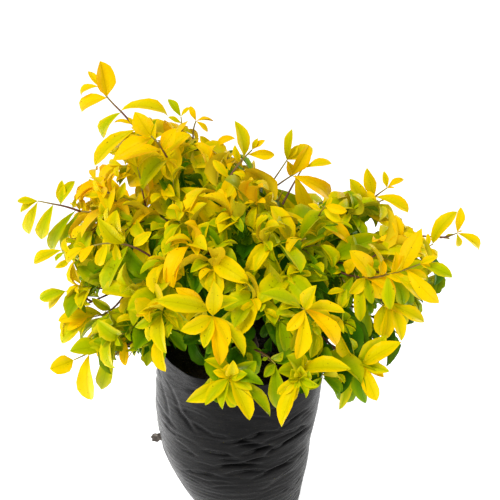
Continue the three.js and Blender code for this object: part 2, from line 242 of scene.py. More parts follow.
def shell(
    name: str,
    points: np.ndarray,
    quads: np.ndarray,
    triangles: np.ndarray,
    uv: np.ndarray | None = None,
    values: dict[str, np.ndarray] | None = None,
) -> bpy.types.Object:
    """Makes a smooth mesh object of points in millimetres.

    Args:
        name: The piece's name.
        points: One row for each corner.
        quads: Faces of four corners.
        triangles: Faces of three corners.
        uv: A row for each corner of each face, quads first.
        values: Attributes with one number for each point.

    Returns:
        The object, at the origin.
    """
    mesh = bpy.data.meshes.new(name)
    turns = np.concatenate([quads.ravel(), triangles.ravel()]).astype(np.int32)
    sizes = np.concatenate([np.full(len(quads), 4), np.full(len(triangles), 3)])
    starts = np.concatenate([[0], np.cumsum(sizes)[:-1]]).astype(np.int32)
    mesh.vertices.add(len(points))
    mesh.vertices.foreach_set("co", (points * MM).astype(np.float32).ravel())
    mesh.loops.add(len(turns))
    mesh.loops.foreach_set("vertex_index", turns)
    mesh.polygons.add(len(sizes))
    mesh.polygons.foreach_set("loop_start", starts)
    mesh.update(calc_edges=True)
    if uv is not None:
        layer = mesh.uv_layers.new(name="blade")
        layer.data.foreach_set("uv", uv.astype(np.float32).ravel())
    for key, numbers in (values or {}).items():
        attribute = mesh.attributes.new(key, "FLOAT", "POINT")
        attribute.data.foreach_set("value", numbers.astype(np.float32).ravel())
    mesh.polygons.foreach_set("use_smooth", np.ones(len(sizes), dtype=bool))
    if mesh.validate():
        raise ValueError(f"the mesh of {name} had to be mended")
    piece = bpy.data.objects.new(name, mesh)
    bpy.context.scene.collection.objects.link(piece)
    return piece


def closed(
    name: str, rings: np.ndarray, poles: np.ndarray, **values: np.ndarray
) -> bpy.types.Object:
    """Makes a closed surface of rings of corners and a pole at each end.

    Args:
        name: The piece's name.
        rings: Rings × sides × 3.
        poles: The two poles.
        values: Attributes, one number for each corner and pole.

    Returns:
        The object.
    """
    faces = lathe_faces(*rings.shape[:2])
    points = np.concatenate([rings.reshape(-1, 3), poles])
    return shell(name, points, faces.quads, faces.triangles, values=values)


def sharpen(piece: bpy.types.Object, on_edge: np.ndarray) -> None:
    """Keeps the shading apart along edges whose two points are both marked.

    Args:
        piece: The object.
        on_edge: True for each marked point.
    """
    mesh = piece.data
    ends = np.zeros(len(mesh.edges) * 2, dtype=np.int32)
    mesh.edges.foreach_get("vertices", ends)
    marked = on_edge[ends.reshape(-1, 2)].all(axis=1)
    attribute = mesh.attributes.new("sharp_edge", "BOOLEAN", "EDGE")
    attribute.data.foreach_set("value", marked)


def dress(piece: bpy.types.Object, material: object, nodes: list[str]) -> None:
    """Gives a piece its material and its place in the frame, and reports it.

    Args:
        piece: The object.
        material: Its Blender material.
        nodes: The CAD nodes that it stands for.
    """
    piece.data.materials.append(material)
    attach(piece, "root")
    if nodes:
        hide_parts(*nodes)
    turns = np.zeros(len(piece.data.polygons), dtype=np.int32)
    piece.data.polygons.foreach_get("loop_total", turns)
    log.info("%s: %d triangles", piece.name, int((turns - 2).sum()))


def tubes(
    name: str,
    centres: np.ndarray,
    tangents: np.ndarray,
    radii: np.ndarray,
    sides: int,
    values: dict[str, np.ndarray] | None = None,
) -> bpy.types.Object:
    """Makes closed tubes. Each ring is a circle across its centre line: centre + radius times
    (cos a · side + sin a · over), and each end closes in a pole a third of a radius further on.

    Args:
        name: The piece's name.
        centres: Tubes × rings × 3, the centre lines.
        tangents: Tubes × rings × 3, their directions, of length 1.
        radii: Tubes × rings, or tubes × rings × sides.
        sides: How many corners in a ring.
        values: Attributes, each tubes × rings.

    Returns:
        The object.
    """
    count, rings = centres.shape[:2]
    if radii.ndim == 2:
        radii = np.repeat(radii[..., None], sides, axis=2)
    along = unit(centres[:, -1] - centres[:, 0])
    axes = np.eye(3)[np.argmin(np.abs(along), axis=1)]
    side = unit(np.cross(tangents, axes[:, None, :]))
    over = np.cross(tangents, side)
    angle = around(sides)[:, None]
    spoke = np.cos(angle) * side[..., None, :] + np.sin(angle) * over[..., None, :]
    rim = centres[..., None, :] + radii[..., None] * spoke
    foot = centres[:, 0] - tangents[:, 0] * radii[:, 0, :1] / 3
    head = centres[:, -1] + tangents[:, -1] * radii[:, -1, :1] / 3
    ends = np.stack([foot, head], axis=1)
    points = np.concatenate([rim.reshape(count, -1, 3), ends], axis=1).reshape(-1, 3)
    spread = {}
    for key, numbers in (values or {}).items():
        inner = np.repeat(numbers[..., None], sides, axis=2).reshape(count, -1)
        spread[key] = np.concatenate([inner, numbers[:, [0, -1]]], axis=1).ravel()
    return shell(name, points, *lathe_faces(rings, sides).repeated(count), values=spread)


# Materials


def paint(red: int, green: int, blue: int) -> tuple[float, float, float, float]:
    """Turns a screen colour into the linear colour that a shader takes.

    Args:
        red: The red channel, 0 to 255.
        green: The green channel.
        blue: The blue channel.

    Returns:
        The colour with its alpha.
    """
    channels = [c / 255 for c in (red, green, blue)]
    linear = [c / 12.92 if c <= 0.04045 else ((c + 0.055) / 1.055) ** 2.4 for c in channels]
    return (*linear, 1.0)


class Shading:
    """A node tree under construction, of a material or a group."""

    def __init__(self, tree: bpy.types.NodeTree, effects: "Effects | None" = None) -> None:
        """Takes the tree to build in and the node groups that it may use."""
        self.tree, self.effects = tree, effects

    def add(self, kind: str, inputs: dict | None = None, **settings: object) -> bpy.types.Node:
        """Adds a node.

        Args:
            kind: The node's type, without the word ShaderNode in front.
            inputs: For each input's name or number, a constant or the socket that feeds it.
            settings: The node's own settings.

        Returns:
            The node.
        """
        node = self.tree.nodes.new("ShaderNode" + kind)
        for key, value in settings.items():
            setattr(node, key, value)
        self.feed(node, inputs or {})
        return node

    def feed(self, node: bpy.types.Node, inputs: dict) -> None:
        """Feeds a node.

        Args:
            node: The node.
            inputs: For each input's name or number, a constant or the socket that feeds it.
        """
        for key, value in inputs.items():
            if isinstance(value, bpy.types.NodeSocket):
                self.tree.links.new(value, node.inputs[key])
            else:
                node.inputs[key].default_value = value

    def attribute(self, name: str) -> bpy.types.NodeSocket:
        """Gives the value of a mesh attribute."""
        return self.add("Attribute", attribute_name=name).outputs["Fac"]

    def mottle(self, place: object, scale: float, *colours: tuple) -> bpy.types.Node:
        """Places the mottle of three colours.

        Args:
            place: The coordinates' socket.
            scale: The coarse noise's scale.
            colours: The base, the patches and the specks.

        Returns:
            The group's node.
        """
        keys = ("Vector", "Scale", "Base", "Patch", "Speck")
        inputs = dict(zip(keys, (place, scale, *colours)))
        return self.add("Group", inputs, node_tree=self.effects.mottle)

    def bump(self, height: object, depth: float, share: float) -> bpy.types.NodeSocket:
        """Bumps the normal by a height of which 1 stands for depth millimetres."""
        inputs = {"Height": height, "Distance": depth * MM, "Strength": share}
        return self.add("Bump", inputs).outputs[0]

    def relief(
        self, place: object, scale: float, grain: float, *bump: float
    ) -> bpy.types.NodeSocket:
        """Bumps the normal by the relief of two noises.

        Args:
            place: The coordinates' socket.
            scale: The coarse noise's scale.
            grain: The fine noise's share.
            bump: The bump's depth and share.

        Returns:
            The normal's socket.
        """
        inputs = {"Vector": place, "Scale": scale, "Grain": grain}
        relief = self.add("Group", inputs, node_tree=self.effects.relief)
        return self.bump(relief.outputs["Height"], *bump)

    def maths(self, operation: str, *numbers: object) -> bpy.types.NodeSocket:
        """Adds a Math node of the operation and numbers or sockets given, and gives its result."""
        node = self.add("Math", dict(enumerate(numbers)), operation=operation)
        return node.outputs[0]

    def mixed(self, share: object, low: object, high: object) -> bpy.types.NodeSocket:
        """Mixes two colours by a share and gives the result."""
        node = self.add("Mix", {0: share, 6: low, 7: high}, data_type="RGBA", clamp_factor=True)
        return node.outputs[2]

    def ranged(self, value: object, *limits: float) -> bpy.types.NodeSocket:
        """Maps a value smoothly from two limits to two results."""
        inputs = {0: value, **dict(enumerate(limits, start=1))}
        return self.add("MapRange", inputs, interpolation_type="SMOOTHSTEP").outputs[0]

    def noise(self, vector: object, scale: object, detail: float = 4) -> bpy.types.NodeSocket:
        """Adds a noise texture and gives its value."""
        inputs = {"Vector": vector, "Scale": scale, "Detail": detail, "Roughness": 0.6}
        return self.add("TexNoise", inputs).outputs[0]

    def place(self, stretch: tuple[float, float, float] = (1, 1, 1)) -> bpy.types.NodeSocket:
        """Gives Object coordinates, stretched by a Mapping node."""
        coordinates = self.add("TexCoord").outputs["Object"]
        return self.add("Mapping", {"Vector": coordinates, "Scale": stretch}).outputs[0]


class Group:
    """A shader node group that several materials use."""

    def __init__(self, name: str, inputs: dict[str, str], outputs: dict[str, str]) -> None:
        """Makes the group with its named sockets.

        Args:
            name: The group's name.
            inputs: For each input, its kind: Color, Float or Vector.
            outputs: The same for each output.
        """
        self.tree = bpy.data.node_groups.new(name, "ShaderNodeTree")
        for way, sockets in (("INPUT", inputs), ("OUTPUT", outputs)):
            for key, kind in sockets.items():
                self.tree.interface.new_socket(key, in_out=way, socket_type="NodeSocket" + kind)
        self.shading = Shading(self.tree)
        self.given = self.tree.nodes.new("NodeGroupInput").outputs
        self.results = self.tree.nodes.new("NodeGroupOutput").inputs

    def give(self, **results: bpy.types.NodeSocket) -> None:
        """Links the group's outputs by name."""
        for key, socket in results.items():
            self.tree.links.new(socket, self.results[key])


class Effects:
    """The node groups of this object, each built once."""

    def __init__(self) -> None:
        """Builds the groups."""
        self.mottle = self.build_mottle()
        self.relief = self.build_relief()
        self.blade = self.build_blade()

    @staticmethod
    def build_mottle() -> bpy.types.NodeTree:
        """Mixes three colours by two noises, one coarse and one fine.

        Returns:
            The group's tree.
        """
        colours = dict.fromkeys(("Base", "Patch", "Speck"), "Color")
        inputs = {"Vector": "Vector", **colours, "Scale": "Float"}
        group = Group("mottle", inputs, {"Color": "Color", "Mask": "Float"})
        kit, given = group.shading, group.given
        coarse = kit.ranged(kit.noise(given["Vector"], given["Scale"]), 0.38, 0.66, 0.0, 1.0)
        finer = kit.maths("MULTIPLY", given["Scale"], 7.0)
        fine = kit.ranged(kit.noise(given["Vector"], finer, 2), 0.56, 0.7, 0.0, 1.0)
        patched = kit.mixed(coarse, given["Base"], given["Patch"])
        group.give(Color=kit.mixed(fine, patched, given["Speck"]), Mask=coarse)
        return group.tree

    @staticmethod
    def build_relief() -> bpy.types.NodeTree:
        """Adds two noises of different grain into a height.

        Returns:
            The group's tree.
        """
        inputs = {"Vector": "Vector", "Scale": "Float", "Grain": "Float"}
        group = Group("relief", inputs, {"Height": "Float"})
        kit, given = group.shading, group.given
        coarse = kit.noise(given["Vector"], given["Scale"], 5)
        finer = kit.maths("MULTIPLY", given["Scale"], 5.0)
        fine = kit.maths("MULTIPLY", kit.noise(given["Vector"], finer, 3), given["Grain"])
        group.give(Height=kit.maths("ADD", coarse, fine))
        return group.tree

    @staticmethod
    def build_blade() -> bpy.types.NodeTree:
        """Colours a leaf from its UV map, whose x runs from edge to edge, 0 to 1 on the upper face
        and 2 to 3 on the lower, and whose y runs from root to tip.

        Returns:
            The group's tree.
        """
        colours = dict.fromkeys(("Heart", "Margin", "Groove_Shade", "Under"), "Color")
        results = {"Color": "Color", "Roughness": "Float", "Height": "Float"}
        group = Group("blade", {**colours, "Dealt": "Float"}, results)
        kit, given = group.shading, group.given
        uv = kit.add("UVMap", uv_map="blade").outputs[0]
        parts = kit.add("SeparateXYZ", {0: uv}).outputs
        beneath = kit.maths("GREATER_THAN", parts[0], 1.5)
        across = kit.maths("SUBTRACT", parts[0], kit.maths("MULTIPLY", beneath, 2.0))
        off = kit.maths("ABSOLUTE", kit.maths("SUBTRACT", across, 0.5))
        # Side veins leave the midrib and run on toward the tip.
        slanted = kit.maths("SUBTRACT", parts[1], kit.maths("MULTIPLY", off, 0.32))
        wave = kit.maths("SINE", kit.maths("MULTIPLY", slanted, 56.0))
        vein = kit.ranged(wave, 0.72, 1.0, 0.0, 1.0)
        rib = kit.ranged(off, 0.014, 0.05, 1.0, 0.0)
        edge = kit.ranged(off, 0.12, 0.46, 0.0, 1.0)
        # Ripening runs in from the margin and is uneven from leaf to leaf.
        place = kit.place()
        uneven = kit.noise(place, 60.0, 3)
        ripe = kit.maths("ADD", kit.maths("MULTIPLY", edge, 0.9), given["Dealt"])
        ripe = kit.maths("ADD", ripe, kit.maths("MULTIPLY_ADD", uneven, 0.55, -0.755))
        ripe = kit.maths("ADD", ripe, kit.maths("MULTIPLY", parts[1], 0.35))
        flesh = kit.mixed(ripe, given["Heart"], given["Margin"])
        # Painted shade: the veins, faintly, and the midrib are darkened toward the groove colour.
        lined = kit.mixed(kit.maths("MULTIPLY", vein, 0.08), flesh, given["Groove_Shade"])
        lined = kit.mixed(kit.maths("MULTIPLY", rib, 0.24), lined, given["Groove_Shade"])
        speck = kit.ranged(kit.noise(place, 420.0, 0), 0.8, 0.84, 0.0, 0.65)
        upper = kit.mixed(speck, lined, paint(96, 62, 14))
        faded = kit.mixed(0.5, lined, given["Under"])
        sheen = kit.ranged(uneven, 0.35, 0.7, 0.36, 0.5)
        height = kit.maths("MULTIPLY_ADD", vein, -0.3, kit.maths("MULTIPLY", rib, -0.8))
        group.give(
            Color=kit.mixed(beneath, upper, faded),
            Roughness=kit.maths("ADD", sheen, kit.maths("MULTIPLY", beneath, 0.18)),
            Height=height,
        )
        return group.tree


@dataclass(frozen=True)
class Finish:
    """A finish, built on the Principled shader."""

    name: str

    def build(self, effects: Effects) -> bpy.types.Material:
        """Builds the material.

        Args:
            effects: The node groups.

        Returns:
            The material.
        """
        material = bpy.data.materials.new(self.name)
        material.use_nodes = True
        kit = Shading(material.node_tree, effects)
        kit.feed(material.node_tree.nodes["Principled BSDF"], self.inputs(kit))
        return material

    def inputs(self, kit: Shading) -> dict:
        """Gives the shader's inputs by name, each a constant or a socket."""
        raise NotImplementedError


@dataclass(frozen=True)
class FilmFinish(Finish):
    """Black polythene film: satin, dusty where it bulges, finely drawn around the bag."""

    name: str = "film"
    black: tuple = paint(7, 7, 8)
    dull: tuple = paint(14, 13, 13)
    dust: tuple = paint(22, 20, 19)
    # painted shade: the near-black colour laid in the creases' valleys
    crease: tuple = paint(3, 3, 3)
    coat: float = 0.19
    gloss: float = 0.2

    def inputs(self, kit: Shading) -> dict:
        """Gives the shader's inputs. The attribute "fold" tells how deep in a crease a point is,
        and the valleys get painted shade: a near-black colour and less coat.

        Args:
            kit: The material's node tree.

        Returns:
            The inputs by name.
        """
        place = kit.place((1, 1, 2.6))
        mottle = kit.mottle(place, 16.0, self.black, self.dull, self.dust).outputs
        # Painted shade: the crease valleys are darkened toward the crease colour and lose their
        # coat.
        crease_shade_mask = kit.ranged(kit.attribute("fold"), -1.9, -0.25, 0.95, 0.0)
        drawn = kit.noise(kit.place((1, 1, 14)), 26.0, 5)
        normal = kit.relief(kit.place((1, 1, 5)), 34.0, 0.4, 1.1, 0.55)
        return {
            "Base Color": kit.mixed(crease_shade_mask, mottle["Color"], self.crease),
            "Roughness": kit.ranged(drawn, 0.3, 0.7, self.gloss, self.gloss + 0.16),
            "Normal": normal,
            "Coat Weight": kit.ranged(crease_shade_mask, 0.0, 1.0, self.coat, 0.0),
            "Coat Normal": normal,
            "Coat Roughness": self.gloss,
            "Specular IOR Level": 0.02,
        }


TORN_FILM = FilmFinish("torn_film", paint(66, 60, 56), paint(104, 97, 90), paint(136, 128, 120))


@dataclass(frozen=True)
class EarthFinish(Finish):
    """Potting soil: nearly black, crumbly, with paler fibres."""

    name: str = "earth"
    dark: tuple = paint(30, 20, 13)
    damp: tuple = paint(52, 36, 23)
    fibre: tuple = paint(104, 78, 50)

    def inputs(self, kit: Shading) -> dict:
        """Gives the shader's inputs.

        Args:
            kit: The material's node tree.

        Returns:
            The inputs by name.
        """
        place = kit.place()
        mottle = kit.mottle(place, 70.0, self.dark, self.damp, self.fibre).outputs
        return {
            "Base Color": mottle["Color"],
            "Roughness": kit.ranged(mottle["Mask"], 0.0, 1.0, 0.98, 0.82),
            "Normal": kit.relief(place, 190.0, 0.6, 2.0, 1.0),
        }


@dataclass(frozen=True)
class BarkFinish(Finish):
    """Bark: furrowed and grey brown on old wood, smooth and purplish on shoots, green at the
    tips."""

    old: tuple = paint(92, 72, 56)
    pale: tuple = paint(128, 106, 84)
    cracks: tuple = paint(58, 42, 32)
    shoot: tuple = paint(112, 68, 52)
    fresh: tuple = paint(168, 158, 30)
    grain: float = 1.0

    def inputs(self, kit: Shading) -> dict:
        """Gives the shader's inputs. The attribute "age" is 0 on old wood, 1 at a shoot's tip.

        Args:
            kit: The material's node tree.

        Returns:
            The inputs by name.
        """
        place = kit.place((1, 1, 0.45))
        mottle = kit.mottle(place, 110.0, self.old, self.pale, self.cracks).outputs
        age = kit.attribute("age")
        young = kit.mixed(kit.ranged(age, 0.25, 0.5, 0.0, 1.0), mottle["Color"], self.shoot)
        return {
            "Base Color": kit.mixed(kit.ranged(age, 0.62, 1.0, 0.0, 1.0), young, self.fresh),
            "Roughness": kit.ranged(age, 0.2, 0.7, 0.88, 0.5),
            "Normal": kit.relief(place, 240.0, 0.5, 0.5 * self.grain, 0.8),
        }


@dataclass(frozen=True)
class FloorFinish(Finish):
    """The studio's floor, plain and pale."""

    grey: float = 0.6
    glow: float = 0.68

    def inputs(self, kit: Shading) -> dict:
        """Gives the shader's inputs.

        Args:
            kit: The material's node tree, not used here.

        Returns:
            The inputs by name.
        """
        return {
            "Base Color": (self.grey, self.grey, self.grey, 1),
            "Roughness": 0.9,
            "Specular IOR Level": 0.1,
            "Emission Color": (1, 1, 1, 1),
            "Emission Strength": self.glow,
        }


class Tone(Enum):
    """The leaf colours, from the shaded heart of the crown to the tips of its shoots: the upper
    face at its heart, at its margin, and the lower face. The greener tones are partly the shaded
    leaves' own colour and partly painted shade, being darker."""

    DEEP = ((34, 82, 4), (58, 106, 4), (94, 122, 20))
    GREEN = ((84, 128, 2), (122, 150, 0), (144, 166, 30))
    OLIVE = ((134, 158, 0), (174, 172, 0), (188, 182, 36))
    LIME = ((168, 180, 0), (208, 190, 0), (214, 196, 40))
    LEMON = ((196, 188, 0), (230, 197, 0), (228, 200, 40))
    GOLD = ((214, 196, 0), (240, 196, 0), (238, 202, 36))
    AMBER = ((230, 196, 0), (246, 190, 0), (242, 196, 30))

    def colours(self) -> list[tuple[float, float, float, float]]:
        """Gives the heart's, the margin's and the lower face's linear colours."""
        return [paint(*screen) for screen in self.value]


@dataclass(frozen=True)
class LeafFinish(Finish):
    """Living leaves of one tone: softly glossy, veined, with a faint painted glow of their own
    colour that stands in for light through them.
    """

    tone: Tone
    # the strength of the painted glow that stands in for light through the leaf
    through_light_glow: float = 0.11

    def inputs(self, kit: Shading) -> dict:
        """Gives the shader's inputs. The attribute "dealt" is each leaf's own share of ripeness.

        Args:
            kit: The material's node tree.

        Returns:
            The inputs by name.
        """
        heart, margin, under = self.tone.colours()
        # The groove colour, the heart darkened, is painted shade along the midrib and the veins.
        dealt, rib = kit.attribute("dealt"), tuple(0.6 * part for part in heart)
        given = {"Heart": heart, "Margin": margin, "Groove_Shade": rib, "Under": under, "Dealt": dealt}
        blade = kit.add("Group", given, node_tree=kit.effects.blade).outputs
        return {
            "Base Color": blade["Color"],
            "Roughness": blade["Roughness"],
            "Normal": kit.bump(blade["Height"], 0.5, 0.4),
            "Specular IOR Level": 0.2,
            "Specular Tint": (1, 0.92, 0.12, 1),
            # Painted light: a faint glow in the leaf's own colour stands in for light through the
            # leaf and lifts its shade.
            "Emission Color": blade["Color"],
            "Emission Strength": self.through_light_glow,
        }


# The bag


@dataclass(frozen=True)
class Crease:
    """One crease of the film: where it lies, how it runs, and how deep it is."""

    azimuth: float
    height: float
    length: float
    slope: float
    depth: float
    width: float = 2.0


@dataclass
class GrowBag:
    """A film grow bag 12 inches wide when flat: the stations of the part's source joined by a
    smooth curve, creased, with a thin wavy mouth."""

    stations: tuple = (
        (0, 46, 2),
        (5, 55, 1.5),
        (16, 61, 0),
        (46, 73, -7),
        (82, 85, -13),
        (122, 94, -17),
        (176, 100, -16),
        (243, 102.5, -11),
        (270, 103, -9),
    )
    depth_share: float = 0.97
    film: float = 0.9
    floor_top: float = 3.0  # the inside's lowest height
    mean_radius: float = 98  # the width that creases are laid out on
    sides: int = 280
    rim_wave: float = 2.5
    rim_depth: float = 40
    fine_creases: int = 190
    crease_width: float = 0.9
    creases: tuple = (  # rows for Crease
        (258, 194, 20, 0, 1.6, 2.4), (280, 194, 34, 17, 2.3, 2.8), (272, 187, 40, 0, 2.1, 2.8),
        (310, 186, 74, -6, 2.0, 2.6), (279, 181, 36, -3, 1.9, 2.4), (258, 168, 40, -6, 2.1, 2.6),
        (285, 172, 42, 10, 2.4, 2.8), (304, 171, 50, 14, 2.4, 2.8), (320, 174, 40, -4, 2.1, 2.4),
        (271, 150, 62, 3, 2.2, 2.8), (283, 157, 36, 8, 1.7, 2.2), (266, 160, 26, 4, 1.5, 2.0),
        (244, 130, 62, 8, 1.7, 2.4), (278, 139, 52, 2, 2.0, 2.6), (301, 134, 50, 3, 1.9, 2.4),
        (317, 138, 50, 5, 1.9, 2.4), (236, 158, 24, -6, 1.2, 2.0), (310, 205, 44, 12, 1.6, 2.2),
        (222, 226, 46, -52, 0.8, 3.0), (212, 212, 52, -60, 0.7, 3.2), (232, 206, 40, -34, 1.1, 2.4),
        (246, 200, 36, -22, 1.0, 2.2),
    )  # fmt: skip

    def profile(self, height: np.ndarray) -> tuple[np.ndarray, np.ndarray]:
        """Gives the radius and sideways shift at a height: a cubic from station to station, whose
        slope at each is the mean of its two chords'.

        Args:
            height: The heights.

        Returns:
            The radii and the shifts.
        """
        known = np.array(self.stations, dtype=float)
        at = np.clip(height, 0, known[-1, 0])
        step = np.diff(known[:, 0])
        chord = np.diff(known[:, 1:], axis=0) / step[:, None]
        slope = np.concatenate([chord[:1], (chord[1:] + chord[:-1]) / 2, chord[-1:]])
        place = np.clip(np.searchsorted(known[:, 0], at, side="right") - 1, 0, len(step) - 1)
        t = ((at - known[place, 0]) / step[place])[..., None]
        width = step[place][..., None]
        value = (
            (1 + 2 * t) * (1 - t) ** 2 * known[place, 1:]
            + t * (1 - t) ** 2 * width * slope[place]
            + t * t * (3 - 2 * t) * known[place + 1, 1:]
            + t * t * (t - 1) * width * slope[place + 1]
        )
        return value[..., 0], value[..., 1]

    def all_creases(self) -> list[Crease]:
        """Gives the marked creases and the fine ones that chance lays over the whole bag: nearly
        level, and steeper toward the mouth.

        Returns:
            The creases.
        """
        fine = []
        for i in range(self.fine_creases):
            height = between(18, 262, 71, i, 1)
            steep = 16 + 24 * max(0.0, height - 200) / 60
            azimuth, length = between(0, 360, 71, i, 2), between(14, 52, 71, i, 3)
            slope = between(-steep, steep, 71, i, 4)
            depth, width = between(0.3, 0.95, 71, i, 5), between(1.1, 2.4, 71, i, 6)
            fine.append(Crease(azimuth, height, length, slope, depth, width))
        return [*(Crease(*row) for row in self.creases), *fine]

    def fold(self, angle: np.ndarray, height: np.ndarray) -> tuple[np.ndarray, np.ndarray]:
        """Gives how far the film stands out of its smooth shape. A crease is a valley, a bell curve
        across its line, with a lower ridge on its upper side, and fades along the line as
        (1 - (1.6s/length)²)^1.5. Slow swellings and the rings of the drawn film are added.

        Args:
            angle: The azimuth in radians.
            height: The height.

        Returns:
            The distance, and the part of it that the creases' valleys make.
        """
        total = np.zeros(np.broadcast(angle, height).shape)
        valleys = total.copy()
        for crease in self.all_creases():
            turn = angle - math.radians(crease.azimuth)
            turn = (turn + np.pi) % (2 * np.pi) - np.pi
            level, rise = turn * self.mean_radius, height - crease.height
            slope = math.radians(crease.slope)
            along = level * math.cos(slope) + rise * math.sin(slope)
            bowed = rise * math.cos(slope) - level * math.sin(slope) + along**2 / 160
            fade = np.clip(1 - (1.6 * along / crease.length) ** 2, 0, None) ** 1.5
            width = self.crease_width * crease.width
            valley = np.exp(-((bowed / width) ** 2))
            ridge = np.exp(-(((bowed - 2.1 * width) / (1.5 * width)) ** 2))
            total += 1.35 * crease.depth * fade * (0.25 * ridge - valley)
            valleys = np.minimum(valleys, -crease.depth * fade * valley)
        x, y = self.mean_radius * np.cos(angle), self.mean_radius * np.sin(angle)
        round_ = np.stack(np.broadcast_arrays(x, y, height), -1)
        slow = 1.5 * rumple(round_ * vec(1, 1, 1.4), 62, 1)
        slow = slow + 0.8 * rumple(round_ * vec(1, 1, 2), 27, 2)
        rings = 0.13 * np.sin(height / 1.15 + 5 * rumple(round_, 40, 3))
        low = 1 - smooth_step(height, 110, 170)
        return total + slow + rings * (0.35 + 0.65 * low), valleys

    def wall(self, angle: np.ndarray, height: np.ndarray) -> tuple[np.ndarray, np.ndarray]:
        """Gives points of the film's outside and how deep in a crease they lie.

        Args:
            angle: The azimuth in radians.
            height: The height, before the rim's wave.

        Returns:
            The points, and the valleys' distances, negative in a crease.
        """
        radius, shift = self.profile(height)
        fold, valleys = self.fold(angle, height)
        fold = fold * smooth_step(height, 0, 24)
        top = self.stations[-1][0]
        near_rim = smooth_step(height, top - self.rim_depth, top)
        flutter = 1.1 * np.sin(5 * angle + 0.4) + 0.8 * np.sin(9 * angle + 2)
        flutter = flutter + 0.5 * np.sin(17 * angle)
        loose = smooth_step(height, top - 22, top)
        radius = radius + fold * (1 - 0.5 * loose) + flutter * loose
        raised = self.rim_wave * np.sin(2 * angle + 0.6) + 0.7 * np.sin(7 * angle + 1)
        x = radius * np.cos(angle) + shift
        y = radius * np.sin(angle) * self.depth_share
        return np.stack([x, y, height + raised * near_rim], axis=-1), valleys

    def build(self) -> bpy.types.Object:
        """Builds the film: its flat foot, its outside, its rim and its inside.

        Returns:
            The object.
        """
        angle = around(self.sides)[None, :]
        top = self.stations[-1][0]
        heights = np.concatenate([np.linspace(0, 20, 10)[:-1], np.linspace(20, top, 160)])[:, None]
        outside, fold = self.wall(angle, heights)
        inner_heights = np.linspace(top, self.floor_top, 34)[:, None]
        inside, inner_fold = self.wall(angle, inner_heights)
        shift = self.profile(inner_heights)[1] + 0 * angle
        centre = np.stack([shift, 0 * shift], -1)
        inward = inside[..., :2] - centre
        inside[..., :2] -= inward / np.linalg.norm(inward, axis=-1, keepdims=True) * self.film
        shrink = np.array([0.25, 0.6, 0.9])[:, None, None]
        foot = outside[:1] * np.array([1, 1, 0]) * shrink
        points = np.concatenate([foot, outside, inside])
        folds = np.concatenate([np.zeros(foot.shape[:2]), fold, inner_fold])
        poles = np.array([[0, 0, 0], [0, 0, self.floor_top]])
        return closed("bag_film", points, poles, fold=np.concatenate([folds.ravel(), [0, 0]]))


@dataclass
class FilmFlap:
    """A torn, crumpled tag of film that stands out of the bag's left side."""

    bag: GrowBag
    size: float = 16
    height: float = 118
    thickness: float = 0.7

    def build(self) -> bpy.types.Object:
        """Builds the tag: a small crumpled sheet, a grid bent by noise, with a face on each side.

        Returns:
            The object.
        """
        rings, sides = 13, 28
        out = np.linspace(0, 1, rings)[:, None]
        angle = around(sides)[None, :]
        torn = 1 + 0.1 * np.sin(3 * angle + 1) + 0.08 * np.sin(7 * angle)
        across = 0.5 * self.size * torn * np.sin(np.pi * np.clip(out, 0.02, 0.98)) ** 0.6
        side = np.where(out < 0.5, 1, -1) * self.thickness / 2
        x, z = across * np.cos(angle), across * np.sin(angle) * 0.84
        flat = np.stack([x, side + 0 * angle, z], -1)
        plain = flat * vec(1, 0, 1)
        crumple = rumple(plain, 4, 8) * 1.2 + rumple(plain, 1.8, 9) * 0.4
        flat[..., 1] += crumple + 0.18 * flat[..., 0]
        edge = self.bag.wall(np.array([[np.pi]]), np.array([[self.height]]))[0][0, 0]
        flat += edge + vec(-self.size * 0.44, 1, 0)
        ends = np.stack([flat[0].mean(axis=0), flat[-1].mean(axis=0)])
        return closed("film_tag", flat, ends, fold=np.zeros(rings * sides + 2))


